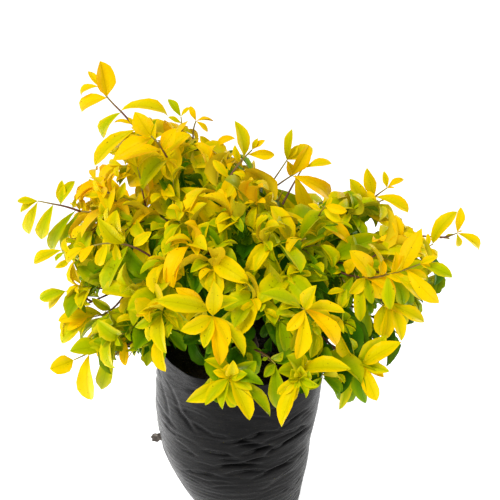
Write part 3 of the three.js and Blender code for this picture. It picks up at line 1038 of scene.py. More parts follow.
@dataclass
class Soil:
    """The soil that fills the bag: a low crumbly mound, with loose clods on it."""

    bag: GrowBag
    level: float = 250
    crown: float = 3
    sides: int = 200
    rings: int = 64
    clods: int = 420
    bottom: float = 222
    shift: float = -10.5  # the middle of the bag's mouth, to the left

    def height(self, place: np.ndarray, share: np.ndarray) -> np.ndarray:
        """Gives the soil's height: a mound of crown·(1 - share²) and three sizes of lumps.

        Args:
            place: Points in the plane, three numbers each.
            share: How far out they are, from 0 to 1.

        Returns:
            The heights.
        """
        lumps = 1.5 * rumple(place, 17, 21) + 1.3 * rumple(place, 7, 22)
        lumps = lumps + 0.8 * rumple(place, 3, 23)
        return self.level + self.crown * (1 - share**2) + lumps - 1.0

    def build(self) -> bpy.types.Object:
        """Builds the soil: flat below, its edge against the film, lumpy above.

        Returns:
            The object.
        """
        angle = around(self.sides)[None, :]
        below, edge = (
            self.bag.wall(angle, np.array([[float(height)]]))[0]
            for height in (self.bottom, self.level)
        )
        middle = vec(self.shift, 0, 0)
        share = np.linspace(0.992, 0.02, self.rings)[:, None, None]
        top = middle + (edge - middle) * share
        flat = top * vec(1, 1, 0)
        top[..., 2] = self.height(flat, share[..., 0])
        floor = middle + (below - middle) * np.array([0.5, 0.98])[:, None, None]
        floor[..., 2] = self.bottom
        points = np.concatenate([floor, top])
        poles = np.stack([middle + vec(0, 0, self.bottom), top[-1].mean(axis=0)])
        return closed("soil_bed", points, poles)

    def build_clods(self) -> bpy.types.Object:
        """Builds loose clods: small balls of four rings, their corners moved in and out by noise.

        Returns:
            The object, all clods joined.
        """
        draw = np.random.default_rng(SEED)
        turn, out = draw.uniform(0, 2 * np.pi, self.clods), np.sqrt(draw.uniform(0, 1, self.clods))
        x, y = self.shift + 92 * out * np.cos(turn), 90 * out * np.sin(turn)
        place = np.stack([x, y, 0 * out], -1)
        place[:, 2] = self.height(place, out)
        radius = draw.uniform(0.9, 3.0, self.clods) * draw.uniform(0.5, 1, self.clods)
        rings, sides = 4, 7
        lean = np.linspace(0.2, 0.8, rings)[:, None] * np.pi
        angle = around(sides)[None, :] + 0 * lean
        x, y = np.sin(lean) * np.cos(angle), np.sin(lean) * np.sin(angle)
        ball = np.stack([x, y, -np.cos(lean) + 0 * angle], -1)
        ball = np.concatenate([ball.reshape(-1, 3), [[0, 0, -1], [0, 0, 1]]])
        points = ball[None] * radius[:, None, None] + place[:, None]
        swell = (1 + 0.45 * rumple(points, 1.6, 31))[..., None]
        points = place[:, None] + (points - place[:, None]) * swell
        quads, triangles = lathe_faces(rings, sides).repeated(self.clods)
        return shell("soil_clods", points.reshape(-1, 3), quads, triangles)


# The wood


@dataclass
class Limb:
    """A bough or branch and the stem of the mass of foliage that it carries."""

    name: str
    azimuth: float
    tip: np.ndarray
    leaves_at: float | None
    parent: str = "trunk"
    curve: Bow | None = None
    stem: Bow | None = None

    @property
    def kind(self) -> str:
        """Gives bough for a limb of the trunk and branch for a limb of a bough."""
        return "bough" if self.parent == "trunk" else "branch"


@dataclass
class Skeleton:
    """The trunk, its limbs and their stems, planned by the rule of the part's source."""

    trunk_foot: tuple = (1, 4, 250.3)
    trunk_top: tuple = (-6, 0, 322)
    trunk_radius: float = 6.6
    trunk_tip: float = 4
    root_flare: float = 1.45
    limb_radius: dict = field(default_factory=lambda: {"bough": 3.6, "branch": 2.5})
    limb_tip: float = 1.7
    limb_share: float = 0.46
    limb_lift: float = 0.14
    bough_feet: tuple = (0.46, 0.97)
    bough_step: int = 5
    gap: float = 0.3
    root: tuple = (-6, 0, 312)
    reach: float = 172
    depth_share: float = 0.9
    # Each tier's elevation, the place where its branches leave a bough, and its masses: azimuth,
    # share of the reach, degrees higher.
    tiers: dict = field(default_factory=lambda: {
        "top": (74, None, {
            "left": (155, 1.69, -20), "centre": (228, 0.96, 0), "right": (340, 0.95, 0),
        }),
        "upper": (50, None, {
            "left": (184, 1.26, -5), "back_left": (120, 1.2, 4), "back": (86, 1.07, -4),
            "back_right": (50, 1.04, 4), "right": (10, 1.2, -12), "front_right": (306, 1, 0),
            "front_left": (240, 1, -2),
        }),
        "middle": (20, 0.42, {
            "left": (174, 1.45, 7), "back_left": (140, 1.15, 0), "back": (98, 1.08, 0),
            "back_right": (52, 1.1, 0), "right": (2, 1.46, 0), "front_right": (334, 1.18, 2),
            "front": (284, 0.95, 2), "front_left": (222, 1.02, 2),
        }),
        "low": (-5, 0.2, {
            "left": (188, 1.22, 6), "back_left": (156, 1.08, 0), "back": (108, 1.02, 0),
            "back_right": (60, 1.04, 0), "right": (350, 1.08, -2), "front_right": (316, 1, -2),
            "front": (268, 0.88, 0), "front_left": (213, 1.08, -1),
        }),
    })  # fmt: skip
    limbs: dict[str, Limb] = field(default_factory=dict)
    trunk: Bow | None = None

    def crown_point(self, azimuth: float, elevation: float, reach: float) -> np.ndarray:
        """Gives a point of the crown, seen from its root.

        Args:
            azimuth: In degrees from +X.
            elevation: In degrees.
            reach: The distance, before the crown is made shallower from front to back.

        Returns:
            The point.
        """
        turn, rise = math.radians(azimuth), math.radians(elevation)
        flat = reach * math.cos(rise)
        x, y = flat * math.cos(turn), flat * math.sin(turn) * self.depth_share
        return np.array(self.root) + vec(x, y, reach * math.sin(rise))

    def plan(self) -> None:
        """Plans the trunk, then each limb: a bough for each mass of the tiers without a place to
        leave from, and a branch of the nearest bough for each other mass."""
        foot, top = np.array(self.trunk_foot, float), np.array(self.trunk_top, float)
        self.trunk = Bow(foot, vec(foot[0], foot[1], (foot[2] + top[2]) / 2), top)
        specs = []
        for tier, (elevation, leaves_at, masses) in self.tiers.items():
            for side, (azimuth, share, higher) in masses.items():
                tip = self.crown_point(azimuth, elevation + higher, share * self.reach)
                specs.append(Limb(f"{tier}_{side}", azimuth, tip, leaves_at))
        boughs = [limb for limb in specs if limb.leaves_at is None]
        for place, bough in enumerate(sorted(boughs, key=lambda limb: limb.azimuth)):
            level = ((place * self.bough_step) % len(boughs)) / (len(boughs) - 1)
            low, high = self.bough_feet
            bough.leaves_at = low + (high - low) * level
        for branch in (limb for limb in specs if limb not in boughs):
            turns = [abs((bough.azimuth - branch.azimuth + 180) % 360 - 180) for bough in boughs]
            branch.parent = boughs[turns.index(min(turns))].name
        for limb in specs:
            self.plan_limb(limb)

    def plan_limb(self, limb: Limb) -> None:
        """Lays a limb and its stem on one smooth bow.

        Args:
            limb: The limb, whose parent is planned.
        """
        parent = self.trunk if limb.parent == "trunk" else self.limbs[limb.parent].curve
        foot = parent.point(limb.leaves_at)
        lift = UP * self.limb_lift * np.linalg.norm(limb.tip - foot)
        entry = foot + (limb.tip - foot) * self.limb_share + lift
        bend = (foot + entry) / 2 + 0.55 * lift
        onward = unit(entry - bend)
        start = entry + self.gap * onward
        reach = np.linalg.norm(limb.tip - entry) * 0.5
        limb.curve = Bow(foot, bend, entry)
        limb.stem = Bow(start, start + reach * onward, limb.tip)
        self.limbs[limb.name] = limb


@dataclass
class Woodwork:
    """The trunk and the limbs, with bark in relief."""

    skeleton: Skeleton
    trunk_rings: int = 90
    trunk_sides: int = 48
    limb_rings: int = 64
    limb_sides: int = 18

    @staticmethod
    def bark(centres: np.ndarray, radii: np.ndarray, sides: int, depth: float) -> np.ndarray:
        """Gives the radius around each ring with bark: long furrows, noise drawn out three times
        along the wood, and a few swellings.

        Args:
            centres: Tubes × rings × 3.
            radii: Tubes × rings.
            sides: How many corners in a ring.
            depth: How deep the bark is, as a share of the radius.

        Returns:
            Tubes × rings × sides.
        """
        angle = around(sides)
        across = radii[..., None] * np.cos(angle), radii[..., None] * np.sin(angle)
        step = np.linalg.norm(np.diff(centres, axis=1, prepend=centres[:, :1]), axis=-1)
        along = np.cumsum(step, axis=1)[..., None] + 0 * across[0]
        own = np.arange(len(centres))[:, None, None] * 37.0
        place = np.stack([across[0] + own, across[1], along / 3], axis=-1)
        knots = np.clip(rumple(place * vec(0.3, 0.3, 1), 4.2, 44), 0, 1)
        rough = 0.6 * rumple(place, 1.9, 41) + 0.4 * rumple(place, 0.9, 42)
        return radii[..., None] * (1 + depth * rough + 1.3 * depth * knots)

    def build_trunk(self) -> bpy.types.Object:
        """Builds the trunk: it stands in the soil, and its foot flares as 1 + 0.45·exp(-9t).

        Returns:
            The object.
        """
        plan = self.skeleton
        t = np.linspace(0, 1, self.trunk_rings)
        centres = plan.trunk.point(t)
        radius = plan.trunk_radius + (plan.trunk_tip - plan.trunk_radius) * t
        radius = radius * (1 + (plan.root_flare - 1) * np.exp(-9 * t))
        centres = np.concatenate([centres[:1] - vec(0, 0, 5), centres])
        tangents = np.concatenate([[UP], plan.trunk.tangent(t)])
        radius = np.concatenate([radius[:1] * 1.08, radius])
        relief = self.bark(centres[None], radius[None], self.trunk_sides, 0.13)
        relief[:, -1] *= 0.55
        return tubes("trunk_bark", centres[None], tangents[None], relief, self.trunk_sides)

    def build_limbs(self) -> bpy.types.Object:
        """Builds the boughs and branches, joined: each tapers from its parent to the stem that
        goes on from its tip.

        Returns:
            The object.
        """
        t = np.linspace(0, 1, self.limb_rings)
        limbs = list(self.skeleton.limbs.values())
        centres = np.stack([limb.curve.point(t) for limb in limbs])
        tangents = np.stack([limb.curve.tangent(t) for limb in limbs])
        thick = np.array([self.skeleton.limb_radius[limb.kind] for limb in limbs])[:, None]
        radius = thick + (self.skeleton.limb_tip - thick) * t
        collar = 1 + 0.35 * np.exp(-18 * t)
        relief = self.bark(centres, radius * collar, self.limb_sides, 0.1)
        age = np.broadcast_to(0.3 * t, radius.shape)
        return tubes("limb_bark", centres, tangents, relief, self.limb_sides, {"age": age})


# The photograph's view


@dataclass(frozen=True)
class View:
    """The photograph's view: where its camera stands, and its picture's pixels."""

    elevation: float = 28
    distance: float = 1250
    target: tuple = (0, 0, 387)
    scale: float = 1.15  # millimetres to a pixel at the target
    picture: int = 500  # pixels

    @property
    def back(self) -> np.ndarray:
        """Gives the direction from the target to the camera."""
        rise = math.radians(self.elevation)
        return vec(0, -math.cos(rise), math.sin(rise))

    @property
    def up(self) -> np.ndarray:
        """Gives the direction that is up in the picture."""
        return np.cross(vec(1, 0, 0), -self.back)

    @property
    def eye(self) -> np.ndarray:
        """Gives the camera's place."""
        return np.array(self.target) + self.back * self.distance

    def sight(self, across: float, down: float, depth: float) -> np.ndarray:
        """Gives the point of the plane y = depth that a pixel shows.

        Args:
            across: The pixel's column.
            down: Its row.
            depth: The plane.

        Returns:
            The point.
        """
        half = self.picture / 2
        right, high = (across - half) * self.scale, (half - down) * self.scale
        ray = -self.back * self.distance + vec(1, 0, 0) * right + self.up * high
        return self.eye + ray * (depth - self.eye[1]) / ray[1]

    def pixels(self, points: np.ndarray) -> np.ndarray:
        """Projects points into the photograph.

        Args:
            points: A row for each point.

        Returns:
            A row for each point, its column and row in pixels.
        """
        away = points - self.eye
        size = self.distance / (away @ -self.back) / self.scale
        return self.picture / 2 + np.stack([away[:, 0] * size, -(away @ self.up) * size], axis=-1)


@dataclass(frozen=True)
class Outline:
    """The crown's outline in the photograph, the sky that shows through it, and the places that
    the masses leave clear in front of a depth, so that trunk, soil or a leader shows. Each is a
    drawn ring of pixels."""

    crown: tuple = (
        (90, 172), (104, 150), (128, 131), (140, 115), (158, 124), (178, 130), (205, 141),
        (226, 152), (246, 164), (262, 180), (272, 191), (281, 210), (288, 226), (300, 228),
        (306, 212), (318, 210), (326, 201), (350, 197), (352, 184), (362, 186), (367, 200),
        (386, 206), (398, 222), (410, 232), (426, 246), (437, 256), (436, 268), (442, 282),
        (440, 304), (422, 306), (424, 321), (404, 330), (400, 346), (388, 358), (388, 374),
        (378, 398), (364, 402), (350, 372), (343, 404), (330, 388), (312, 386), (296, 400),
        (281, 424), (274, 404), (266, 388), (261, 380), (253, 380), (254, 392), (270, 415),
        (250, 418), (222, 408), (205, 404), (188, 401), (210, 372), (206, 360), (198, 348),
        (188, 340), (184, 350), (174, 342), (170, 360), (163, 372), (152, 345), (147, 366),
        (134, 357), (126, 364), (118, 354), (114, 384), (100, 392), (90, 401), (82, 388),
        (80, 352), (62, 342), (58, 322), (74, 300), (80, 280), (66, 262), (68, 240),
        (86, 222), (72, 212), (74, 198), (86, 188),
    )  # fmt: skip
    sky: tuple = (
        ((96, 295), (126, 295), (129, 305), (115, 316), (96, 317)),
        ((125, 301), (140, 300), (141, 311), (126, 314)),
        ((95, 348), (116, 351), (106, 385), (94, 378)),
        ((348, 288), (362, 288), (360, 328), (352, 332), (345, 314)),
        ((322, 336), (338, 333), (346, 350), (342, 362), (322, 361)),
        ((387, 332), (398, 328), (396, 343), (386, 343)),
        ((147, 205), (162, 205), (162, 217), (148, 217)),
        ((98, 166), (112, 165), (107, 185), (100, 172)),
        ((117, 185), (137, 181), (138, 197), (119, 199)),
        ((274, 194), (281, 208), (276, 211)),
        ((360, 226), (380, 222), (384, 240), (364, 242)),
        ((328, 241), (343, 241), (343, 255), (330, 255)),
        ((408, 254), (423, 254), (423, 268), (410, 268)),
        ((206, 165), (225, 166), (225, 174), (209, 174)),
        ((239, 218), (253, 218), (253, 228), (240, 228)),
        ((158, 222), (170, 218), (172, 227), (160, 230)),
    )
    cleared: tuple = (
        (-42, (
            (245, 318), (254, 312), (263, 326), (280, 334), (282, 350), (270, 356), (246, 352),
        )),
        (-42, ((172, 345), (184, 350), (198, 348), (212, 368), (205, 378), (172, 362))),
        (-80, (
            (340, 248), (376, 243), (412, 262), (414, 300), (386, 328), (352, 322), (338, 296),
        )),
        (-62, (
            (298, 228), (318, 212), (330, 200), (352, 205), (356, 246), (342, 268), (330, 278),
            (298, 262),
        )),
        (-10, (
            (118, 146), (136, 136), (152, 128), (172, 126), (190, 132), (214, 142), (222, 160),
            (226, 192), (200, 198), (176, 198), (136, 200), (120, 186),
        )),
    )  # fmt: skip

    @staticmethod
    def holds(ring: tuple, places: np.ndarray) -> np.ndarray:
        """Tells which places lie in a ring: those that a line to the right leaves across an odd
        number of its sides.

        Args:
            ring: The ring's corners.
            places: A row for each place.

        Returns:
            True for each place inside.
        """
        x, y = places[:, None, 0], places[:, None, 1]
        start = np.array(ring, dtype=float)
        end = np.roll(start, -1, axis=0)
        spans = (start[:, 1] > y) != (end[:, 1] > y)
        rise = np.where(start[:, 1] == end[:, 1], 1, end[:, 1] - start[:, 1])
        meets = start[:, 0] + (y - start[:, 1]) * (end[:, 0] - start[:, 0]) / rise
        return (spans & (x < meets)).sum(axis=1) % 2 == 1

    def covers(self, places: np.ndarray, depths: np.ndarray) -> bool:
        """Tells whether the crown covers all of the places, shows no sky there, and none of them
        is in front of a cleared ring's depth.

        Args:
            places: A pixel for each place.
            depths: The depth of each.

        Returns:
            True if leaves may grow there.
        """
        if not self.holds(self.crown, places).all():
            return False
        if any(self.holds(ring, places[depths < front]).any() for front, ring in self.cleared):
            return False
        return not any(self.holds(gap, places).any() for gap in self.sky)


# The crown


@dataclass(frozen=True)
class Leaf:
    """One leaf: its root, the way it points, the way its face looks, its length, how golden it is,
    how far it arches, in radians from root to tip, and its width by its length."""

    root: np.ndarray
    point: np.ndarray
    face: np.ndarray
    length: float
    ripeness: float
    arch: float
    width: float
    keys: tuple[int, ...]


@dataclass(frozen=True)
class Shoot:
    """A stem, twig or short shoot: its line, how thick it is at each end, and its order."""

    line: Bow
    thick: float
    thin: float
    order: int
    ripeness: float
    keys: tuple[int, ...]
    room: tuple[np.ndarray, np.ndarray] | None = None  # the corners of its mass's space


@dataclass(frozen=True)
class Habit:
    """How the shoots of one order grow."""

    spacing: float  # between pairs of leaves
    leaf: float  # the length of a full leaf
    side: float  # the length of a side shoot
    bare: float  # the share of the shoot that has no leaves


@dataclass(frozen=True)
class Mark:
    """A leaf of a leader, in whole numbers."""

    along: int  # its place along the leader, in percent
    column: int  # its tip's pixel
    row: int
    arch: int  # how far it arches, in tenths of a radian
    turn: int  # its face, in degrees from straight up toward the front
    ripeness: int  # how golden it is, in percent
    width: int = 36  # in percent of its length


@dataclass(frozen=True)
class Leader:
    """A shoot given in the table of leaders. All follow the photograph but the one on low_back,
    which it can't show. It grows from a mass's stem and runs past a bend to its tip, two pixels,
    and the tip's depth is given. Its leaves are rows for Mark."""

    mass: str
    leaves_at: float
    bend: tuple[float, float]
    tip: tuple[float, float]
    depth: float
    leaves: tuple
    ends_stem: bool = False


LEADER_KEYS = 900
LEADERS = (
    Leader("top_left", 0.5, (116, 108), (99, 87), 66, (
        (100, 88, 71, 5, 20, 79), (100, 80, 95, 17, 25, 93), (78, 100, 61, 5, 66, 93, 58),
        (76, 80, 111, 13, 40, 93, 44), (50, 169, 114, 19, 25, 79), (48, 101, 138, 15, 35, 50),
        (26, 114, 122, 8, 15, 93), (24, 128, 117, 5, 30, 79), (20, 93, 165, 9, 30, 64),
        (16, 120, 145, 8, 50, 64),
    ), True),
    Leader("top_left", 0.12, (166, 152), (151, 136), -32, (
        (100, 135, 112, 6, 62, 93, 60), (100, 156, 120, 5, 50, 36), (95, 118, 156, 7, 55, 93, 42),
        (62, 112, 159, 9, 45, 93), (62, 176, 129, 6, 62, 93, 50), (50, 190, 134, 8, 55, 79, 42),
        (16, 135, 199, 12, 35, 79, 30), (10, 224, 165, 17, 30, 70), (45, 127, 184, 6, 50, 72, 60),
        (40, 144, 184, 6, 50, 45, 42), (0, 196, 159, 5, 60, 79, 55), (0, 228, 196, 13, 40, 64),
        (0, 184, 194, 6, 50, 93, 50), (5, 172, 193, 5, 50, 93, 50), (30, 150, 172, 7, 50, 50, 42),
        (0, 160, 204, 8, 50, 79, 40), (0, 206, 204, 7, 50, 60, 50), (35, 184, 146, 7, 50, 64, 45),
    )),
    Leader("top_left", 0.1, (184, 148), (181, 117), 58, (
        (100, 168, 99, 9, 40, 50), (100, 190, 107, 5, 10, 79), (90, 168, 117, 6, 55, 64),
    )),
    Leader("upper_back_left", 0.5, (186, 142), (196, 121), 76, (
        (100, 190, 106, 13, 40, 93), (100, 214, 121, 5, 15, 93), (100, 208, 132, 9, 35, 93),
        (70, 180, 128, 5, 40, 64),
    )),
    Leader("upper_back_left", 0.7, (209, 158), (214, 148), 76, (
        (100, 235, 138, 12, 30, 93), (90, 200, 136, 8, 60, 64, 42),
    )),
    Leader("top_centre", 0.9, (228, 172), (252, 150), 18, (
        (80, 236, 121, 9, 25, 64), (100, 258, 138, 5, 55, 79), (100, 265, 140, 6, 30, 93),
        (90, 275, 155, 6, 58, 93), (72, 235, 145, 7, 50, 64), (50, 246, 176, 10, 40, 79),
        (40, 213, 160, 10, 40, 79),
    )),
    Leader("upper_back", 0.3, (266, 192), (287, 160), 82, (
        (100, 292, 129, 10, 30, 64, 28), (100, 286, 152, 3, 20, 79), (100, 298, 145, 6, 50, 64),
        (100, 295, 175, 6, 60, 93, 45), (100, 313, 148, 5, 55, 79, 50),
    )),
    Leader("upper_back", 0.3, (270, 187), (305, 168), 60, (
        (80, 309, 145, 7, 60, 93, 42), (80, 331, 198, 16, 40, 93), (100, 332, 163, 9, 30, 79),
        (100, 308, 154, 4, 30, 36), (85, 311, 221, 7, 62, 93), (50, 296, 221, 10, 40, 64),
        (50, 304, 212, 9, 55, 36), (45, 230, 191, 11, 35, 50),
    )),
    Leader("upper_right", 0.1, (306, 232), (325, 206), -74, (
        (60, 352, 243, 12, 40, 93), (35, 334, 255, 11, 40, 79), (100, 347, 211, 8, 60, 93, 42),
        (100, 332, 196, 6, 55, 79), (90, 308, 204, 8, 50, 79), (10, 282, 236, 9, 45, 50),
        (95, 341, 221, 7, 50, 72, 45), (0, 318, 262, 12, 40, 79), (0, 329, 271, 7, 50, 50),
        (10, 341, 266, 7, 50, 55), (40, 300, 227, 5, 50, 93, 30), (25, 325, 243, 6, 50, 40, 45),
        (80, 322, 219, 5, 50, 64, 50), (70, 338, 232, 7, 45, 50),
    )),
    Leader("upper_right", 0.7, (371, 199), (387, 188), 38, (
        (55, 367, 168, 5, 64, 79), (60, 409, 212, 12, 40, 79), (100, 404, 179, 8, 30, 93),
        (100, 384, 171, 6, 30, 64), (98, 395, 188, 3, 30, 93), (20, 396, 218, 11, 45, 50),
        (0, 399, 231, 12, 40, 79), (10, 350, 179, 8, 45, 60, 42), (5, 345, 195, 12, 40, 64),
    )),
    Leader("middle_right", 0.3, (410, 258), (433, 244), -6, (
        (100, 456, 211, 16, 20, 64), (85, 437, 256, 7, 50, 93), (70, 434, 264, 8, 50, 79),
        (90, 428, 233, 6, 40, 79), (60, 408, 226, 9, 50, 79), (50, 381, 222, 7, 25, 79),
    )),
    Leader("middle_right", 0.9, (447, 238), (457, 233), 8, (
        (100, 461, 207, 6, 58, 93), (100, 480, 250, 14, 40, 79), (100, 459, 247, 7, 45, 64),
        (90, 444, 238, 6, 30, 64), (100, 464, 231, 4, 15, 93),
    )),
    Leader("middle_front_right", 0.1, (352, 292), (420, 264), -104, (
        (86, 421, 229, 6, 58, 93), (90, 439, 304, 12, 45, 93), (88, 427, 279, 7, 60, 79),
        (100, 453, 277, 7, 40, 50), (100, 437, 257, 6, 50, 79), (100, 431, 268, 6, 55, 93, 50),
        (50, 397, 294, 14, 35, 93), (54, 349, 293, 6, 60, 79, 55), (60, 382, 299, 6, 45, 93, 50),
        (30, 357, 259, 6, 55, 93, 50), (58, 351, 251, 7, 50, 93, 45),
        (70, 383, 260, 6, 60, 93, 45), (78, 396, 252, 6, 55, 79, 30), (80, 423, 300, 10, 50, 64),
        (72, 410, 283, 7, 50, 79), (50, 360, 322, 8, 50, 50, 30), (25, 327, 268, 6, 60, 64, 55),
        (40, 338, 306, 8, 50, 36), (66, 370, 244, 8, 40, 64, 30), (75, 390, 310, 8, 50, 50),
        (62, 364, 262, 6, 50, 64, 40), (45, 371, 268, 5, 50, 79, 45), (80, 408, 250, 6, 50, 64),
        (35, 346, 268, 5, 50, 79, 40), (70, 401, 279, 6, 50, 50, 45), (55, 372, 304, 8, 45, 36),
    )),
    Leader("middle_left", 0.7, (62, 204), (38, 201), 8, (
        (50, 62, 180, 5, 55, 64), (50, 74, 181, 13, 30, 50), (100, 17, 201, 5, 55, 64),
        (100, 20, 213, 9, 35, 64), (100, 28, 235, 7, 45, 64, 32), (66, 40, 240, 8, 50, 50, 34),
        (10, 50, 251, 15, 30, 40, 26), (0, 66, 262, 15, 35, 30, 26), (20, 76, 198, 6, 55, 64),
    ), True),
    Leader("low_left", 0.3, (86, 270), (62, 250), -4, (
        (100, 33, 263, 7, 40, 64), (100, 66, 243, 4, 50, 64), (95, 55, 261, 7, 55, 50, 42),
        (80, 55, 268, 6, 55, 64), (70, 80, 252, 6, 40, 50), (60, 70, 280, 7, 50, 64),
        (50, 92, 258, 7, 45, 64), (30, 96, 288, 8, 45, 50),
    )),
    Leader("low_left", 0.7, (80, 293), (66, 291), -22, (
        (100, 39, 299, 9, 50, 50, 42), (100, 48, 310, 9, 40, 64), (60, 75, 288, 5, 40, 64),
    )),
    Leader("low_left", 0.3, (114, 317), (88, 317), -38, (
        (90, 58, 320, 9, 40, 79), (100, 67, 330, 6, 50, 93), (100, 80, 336, 7, 45, 50),
        (85, 60, 343, 11, 40, 50), (70, 75, 312, 9, 40, 64), (60, 83, 352, 10, 45, 79),
        (50, 92, 298, 7, 60, 50), (40, 100, 332, 10, 45, 50),
    )),
    Leader("low_front_left", 0.5, (114, 341), (74, 360), -92, (
        (100, 50, 369, 6, 58, 79, 70), (80, 90, 401, 6, 60, 79, 42), (60, 70, 351, 7, 50, 50, 50),
        (50, 101, 391, 6, 35, 36), (30, 84, 348, 7, 55, 50, 42), (25, 96, 356, 12, 50, 93),
        (30, 125, 366, 8, 50, 93), (40, 104, 355, 6, 40, 36), (0, 147, 367, 7, 50, 36),
        (5, 134, 357, 6, 40, 50),
    )),
    Leader("middle_front_left", 0.7, (166, 300), (173, 309), -118, (
        (100, 147, 341, 8, 55, 64, 42), (100, 186, 331, 6, 60, 79, 42), (90, 140, 311, 7, 45, 64),
    )),
    Leader("low_front_left", 0.1, (168, 322), (161, 331), -104, (
        (100, 165, 372, 6, 60, 79, 42), (80, 186, 351, 7, 45, 21), (80, 150, 336, 6, 50, 64),
    )),
    Leader("middle_front_left", 0.3, (198, 290), (213, 316), -150, (
        (100, 181, 331, 6, 60, 79, 42), (100, 204, 348, 8, 55, 64), (100, 220, 366, 7, 58, 93),
        (100, 229, 345, 7, 40, 93), (100, 245, 357, 8, 40, 64), (90, 157, 300, 10, 40, 64),
        (100, 214, 282, 5, 55, 79), (90, 238, 300, 8, 45, 50), (70, 176, 288, 8, 50, 93),
    )),
    Leader("middle_front", 0.7, (290, 302), (304, 309), -150, (
        (100, 287, 331, 6, 58, 93, 42), (100, 297, 360, 6, 45, 79), (100, 338, 345, 12, 40, 93),
        (100, 345, 312, 5, 20, 79), (90, 262, 293, 7, 35, 50), (100, 316, 286, 5, 50, 64),
        (100, 292, 352, 6, 50, 36), (90, 280, 309, 6, 35, 50),
    )),
    Leader("low_front", 0.6, (236, 364), (230, 377), -168, (
        (100, 186, 402, 5, 60, 64), (100, 205, 405, 6, 50, 50), (100, 222, 409, 6, 58, 50),
        (100, 250, 420, 6, 60, 64, 42), (100, 271, 416, 6, 35, 36), (90, 263, 384, 7, 30, 21),
        (90, 213, 371, 5, 60, 79, 42), (100, 233, 361, 5, 60, 64), (100, 247, 374, 5, 62, 50, 42),
        (80, 205, 360, 7, 45, 50), (90, 252, 390, 6, 55, 50), (70, 256, 362, 6, 60, 42, 55),
        (100, 221, 370, 4, 60, 60, 55), (100, 229, 364, 4, 55, 66, 50),
        (100, 240, 369, 4, 60, 55, 55), (100, 243, 379, 4, 60, 60, 55),
        (100, 238, 387, 5, 62, 50, 50), (100, 225, 387, 5, 62, 55, 50),
        (100, 226, 380, 4, 62, 60, 70), (100, 235, 375, 4, 60, 64, 70),
        (100, 231, 371, 4, 58, 55, 70), (100, 234, 383, 4, 62, 60, 70),
    ), True),
    Leader("low_front", 0.3, (262, 358), (272, 362), -70, (
        (30, 262, 352, 6, 50, 20, 45), (50, 269, 350, 6, 45, 10, 45),
        (100, 282, 356, 6, 50, 20, 40), (100, 277, 368, 6, 50, 30, 40),
        (100, 265, 372, 6, 50, 30, 45), (20, 255, 366, 6, 50, 30, 40),
    )),
    Leader("low_front", 0.45, (268, 352), (275, 364), -138, (
        (100, 278, 409, 9, 50, 42, 40), (100, 264, 377, 6, 50, 35, 50),
        (80, 283, 352, 6, 50, 40, 50), (70, 262, 360, 6, 50, 30, 50),
    )),
    Leader("middle_front", 0.3, (264, 326), (272, 336), -46, (
        (50, 263, 338, 6, 50, 5, 45), (100, 270, 352, 5, 60, 5, 50),
        (100, 281, 340, 6, 50, 10, 45), (70, 278, 326, 6, 45, 10, 45),
    )),
    Leader("low_front_right", 0.1, (306, 352), (299, 377), -164, (
        (90, 279, 410, 11, 45, 50), (100, 281, 427, 6, 50, 79), (100, 277, 394, 6, 62, 64, 42),
        (100, 306, 398, 6, 55, 50), (100, 319, 386, 6, 55, 50), (90, 287, 356, 5, 58, 50, 60),
        (90, 302, 353, 5, 60, 50, 60), (90, 278, 372, 5, 60, 40, 55),
        (80, 316, 362, 6, 55, 60, 50), (90, 350, 368, 7, 40, 64), (60, 276, 362, 7, 45, 21),
        (100, 288, 381, 4, 62, 50, 60), (100, 291, 369, 4, 60, 45, 60),
        (100, 301, 366, 4, 58, 50, 60), (100, 309, 371, 4, 60, 50, 60),
        (100, 311, 380, 4, 60, 60, 55), (100, 305, 387, 4, 62, 50, 60),
        (100, 295, 389, 5, 62, 45, 55), (100, 295, 381, 4, 62, 50, 70),
        (100, 304, 376, 4, 60, 55, 70), (100, 299, 371, 4, 58, 50, 70),
        (100, 301, 384, 4, 62, 45, 70),
    )),
    Leader("low_front_right", 0.5, (346, 354), (362, 365), -118, (
        (90, 365, 404, 7, 50, 21, 42), (100, 377, 401, 6, 55, 79, 42), (100, 400, 342, 6, 55, 79),
        (100, 389, 371, 8, 35, 50), (100, 384, 377, 5, 20, 93), (50, 345, 404, 7, 58, 21, 50),
        (40, 341, 411, 10, 25, 50, 22), (70, 318, 366, 6, 30, 50), (70, 350, 338, 6, 40, 50, 30),
        (90, 386, 336, 6, 58, 55, 50), (80, 338, 332, 6, 55, 60),
    )),
    Leader("low_right", 0.3, (378, 298), (391, 304), -76, (
        (100, 406, 327, 9, 45, 50), (100, 425, 322, 9, 40, 64), (90, 384, 340, 7, 58, 64),
        (100, 402, 341, 8, 45, 64), (60, 370, 312, 6, 60, 50), (40, 362, 340, 6, 45, 40),
        (80, 382, 337, 8, 55, 64, 42), (90, 412, 314, 8, 50, 79),
    )),
    Leader("middle_front_left", 0.3, (135, 228), (86, 248), -78, (
        (100, 66, 262, 10, 40, 79), (100, 76, 243, 5, 20, 79), (90, 80, 262, 8, 50, 93),
        (78, 98, 266, 8, 58, 79, 42), (55, 103, 293, 5, 50, 50), (20, 162, 285, 7, 58, 79),
        (35, 147, 263, 6, 50, 79), (60, 98, 219, 7, 50, 64), (70, 118, 262, 6, 55, 64, 42),
        (50, 151, 232, 8, 50, 79), (15, 172, 243, 6, 50, 64),
    )),
    Leader("upper_left", 0.5, (124, 205), (104, 196), -24, (
        (100, 104, 216, 5, 62, 64, 42), (100, 84, 196, 9, 45, 64), (100, 94, 179, 6, 60, 79),
        (70, 125, 182, 7, 50, 64), (60, 108, 232, 9, 50, 50), (40, 140, 232, 9, 45, 50),
    )),
    Leader("middle_left", 0.3, (96, 232), (78, 243), -16, (
        (100, 68, 262, 9, 35, 50), (100, 62, 240, 6, 40, 50), (80, 90, 262, 8, 50, 64),
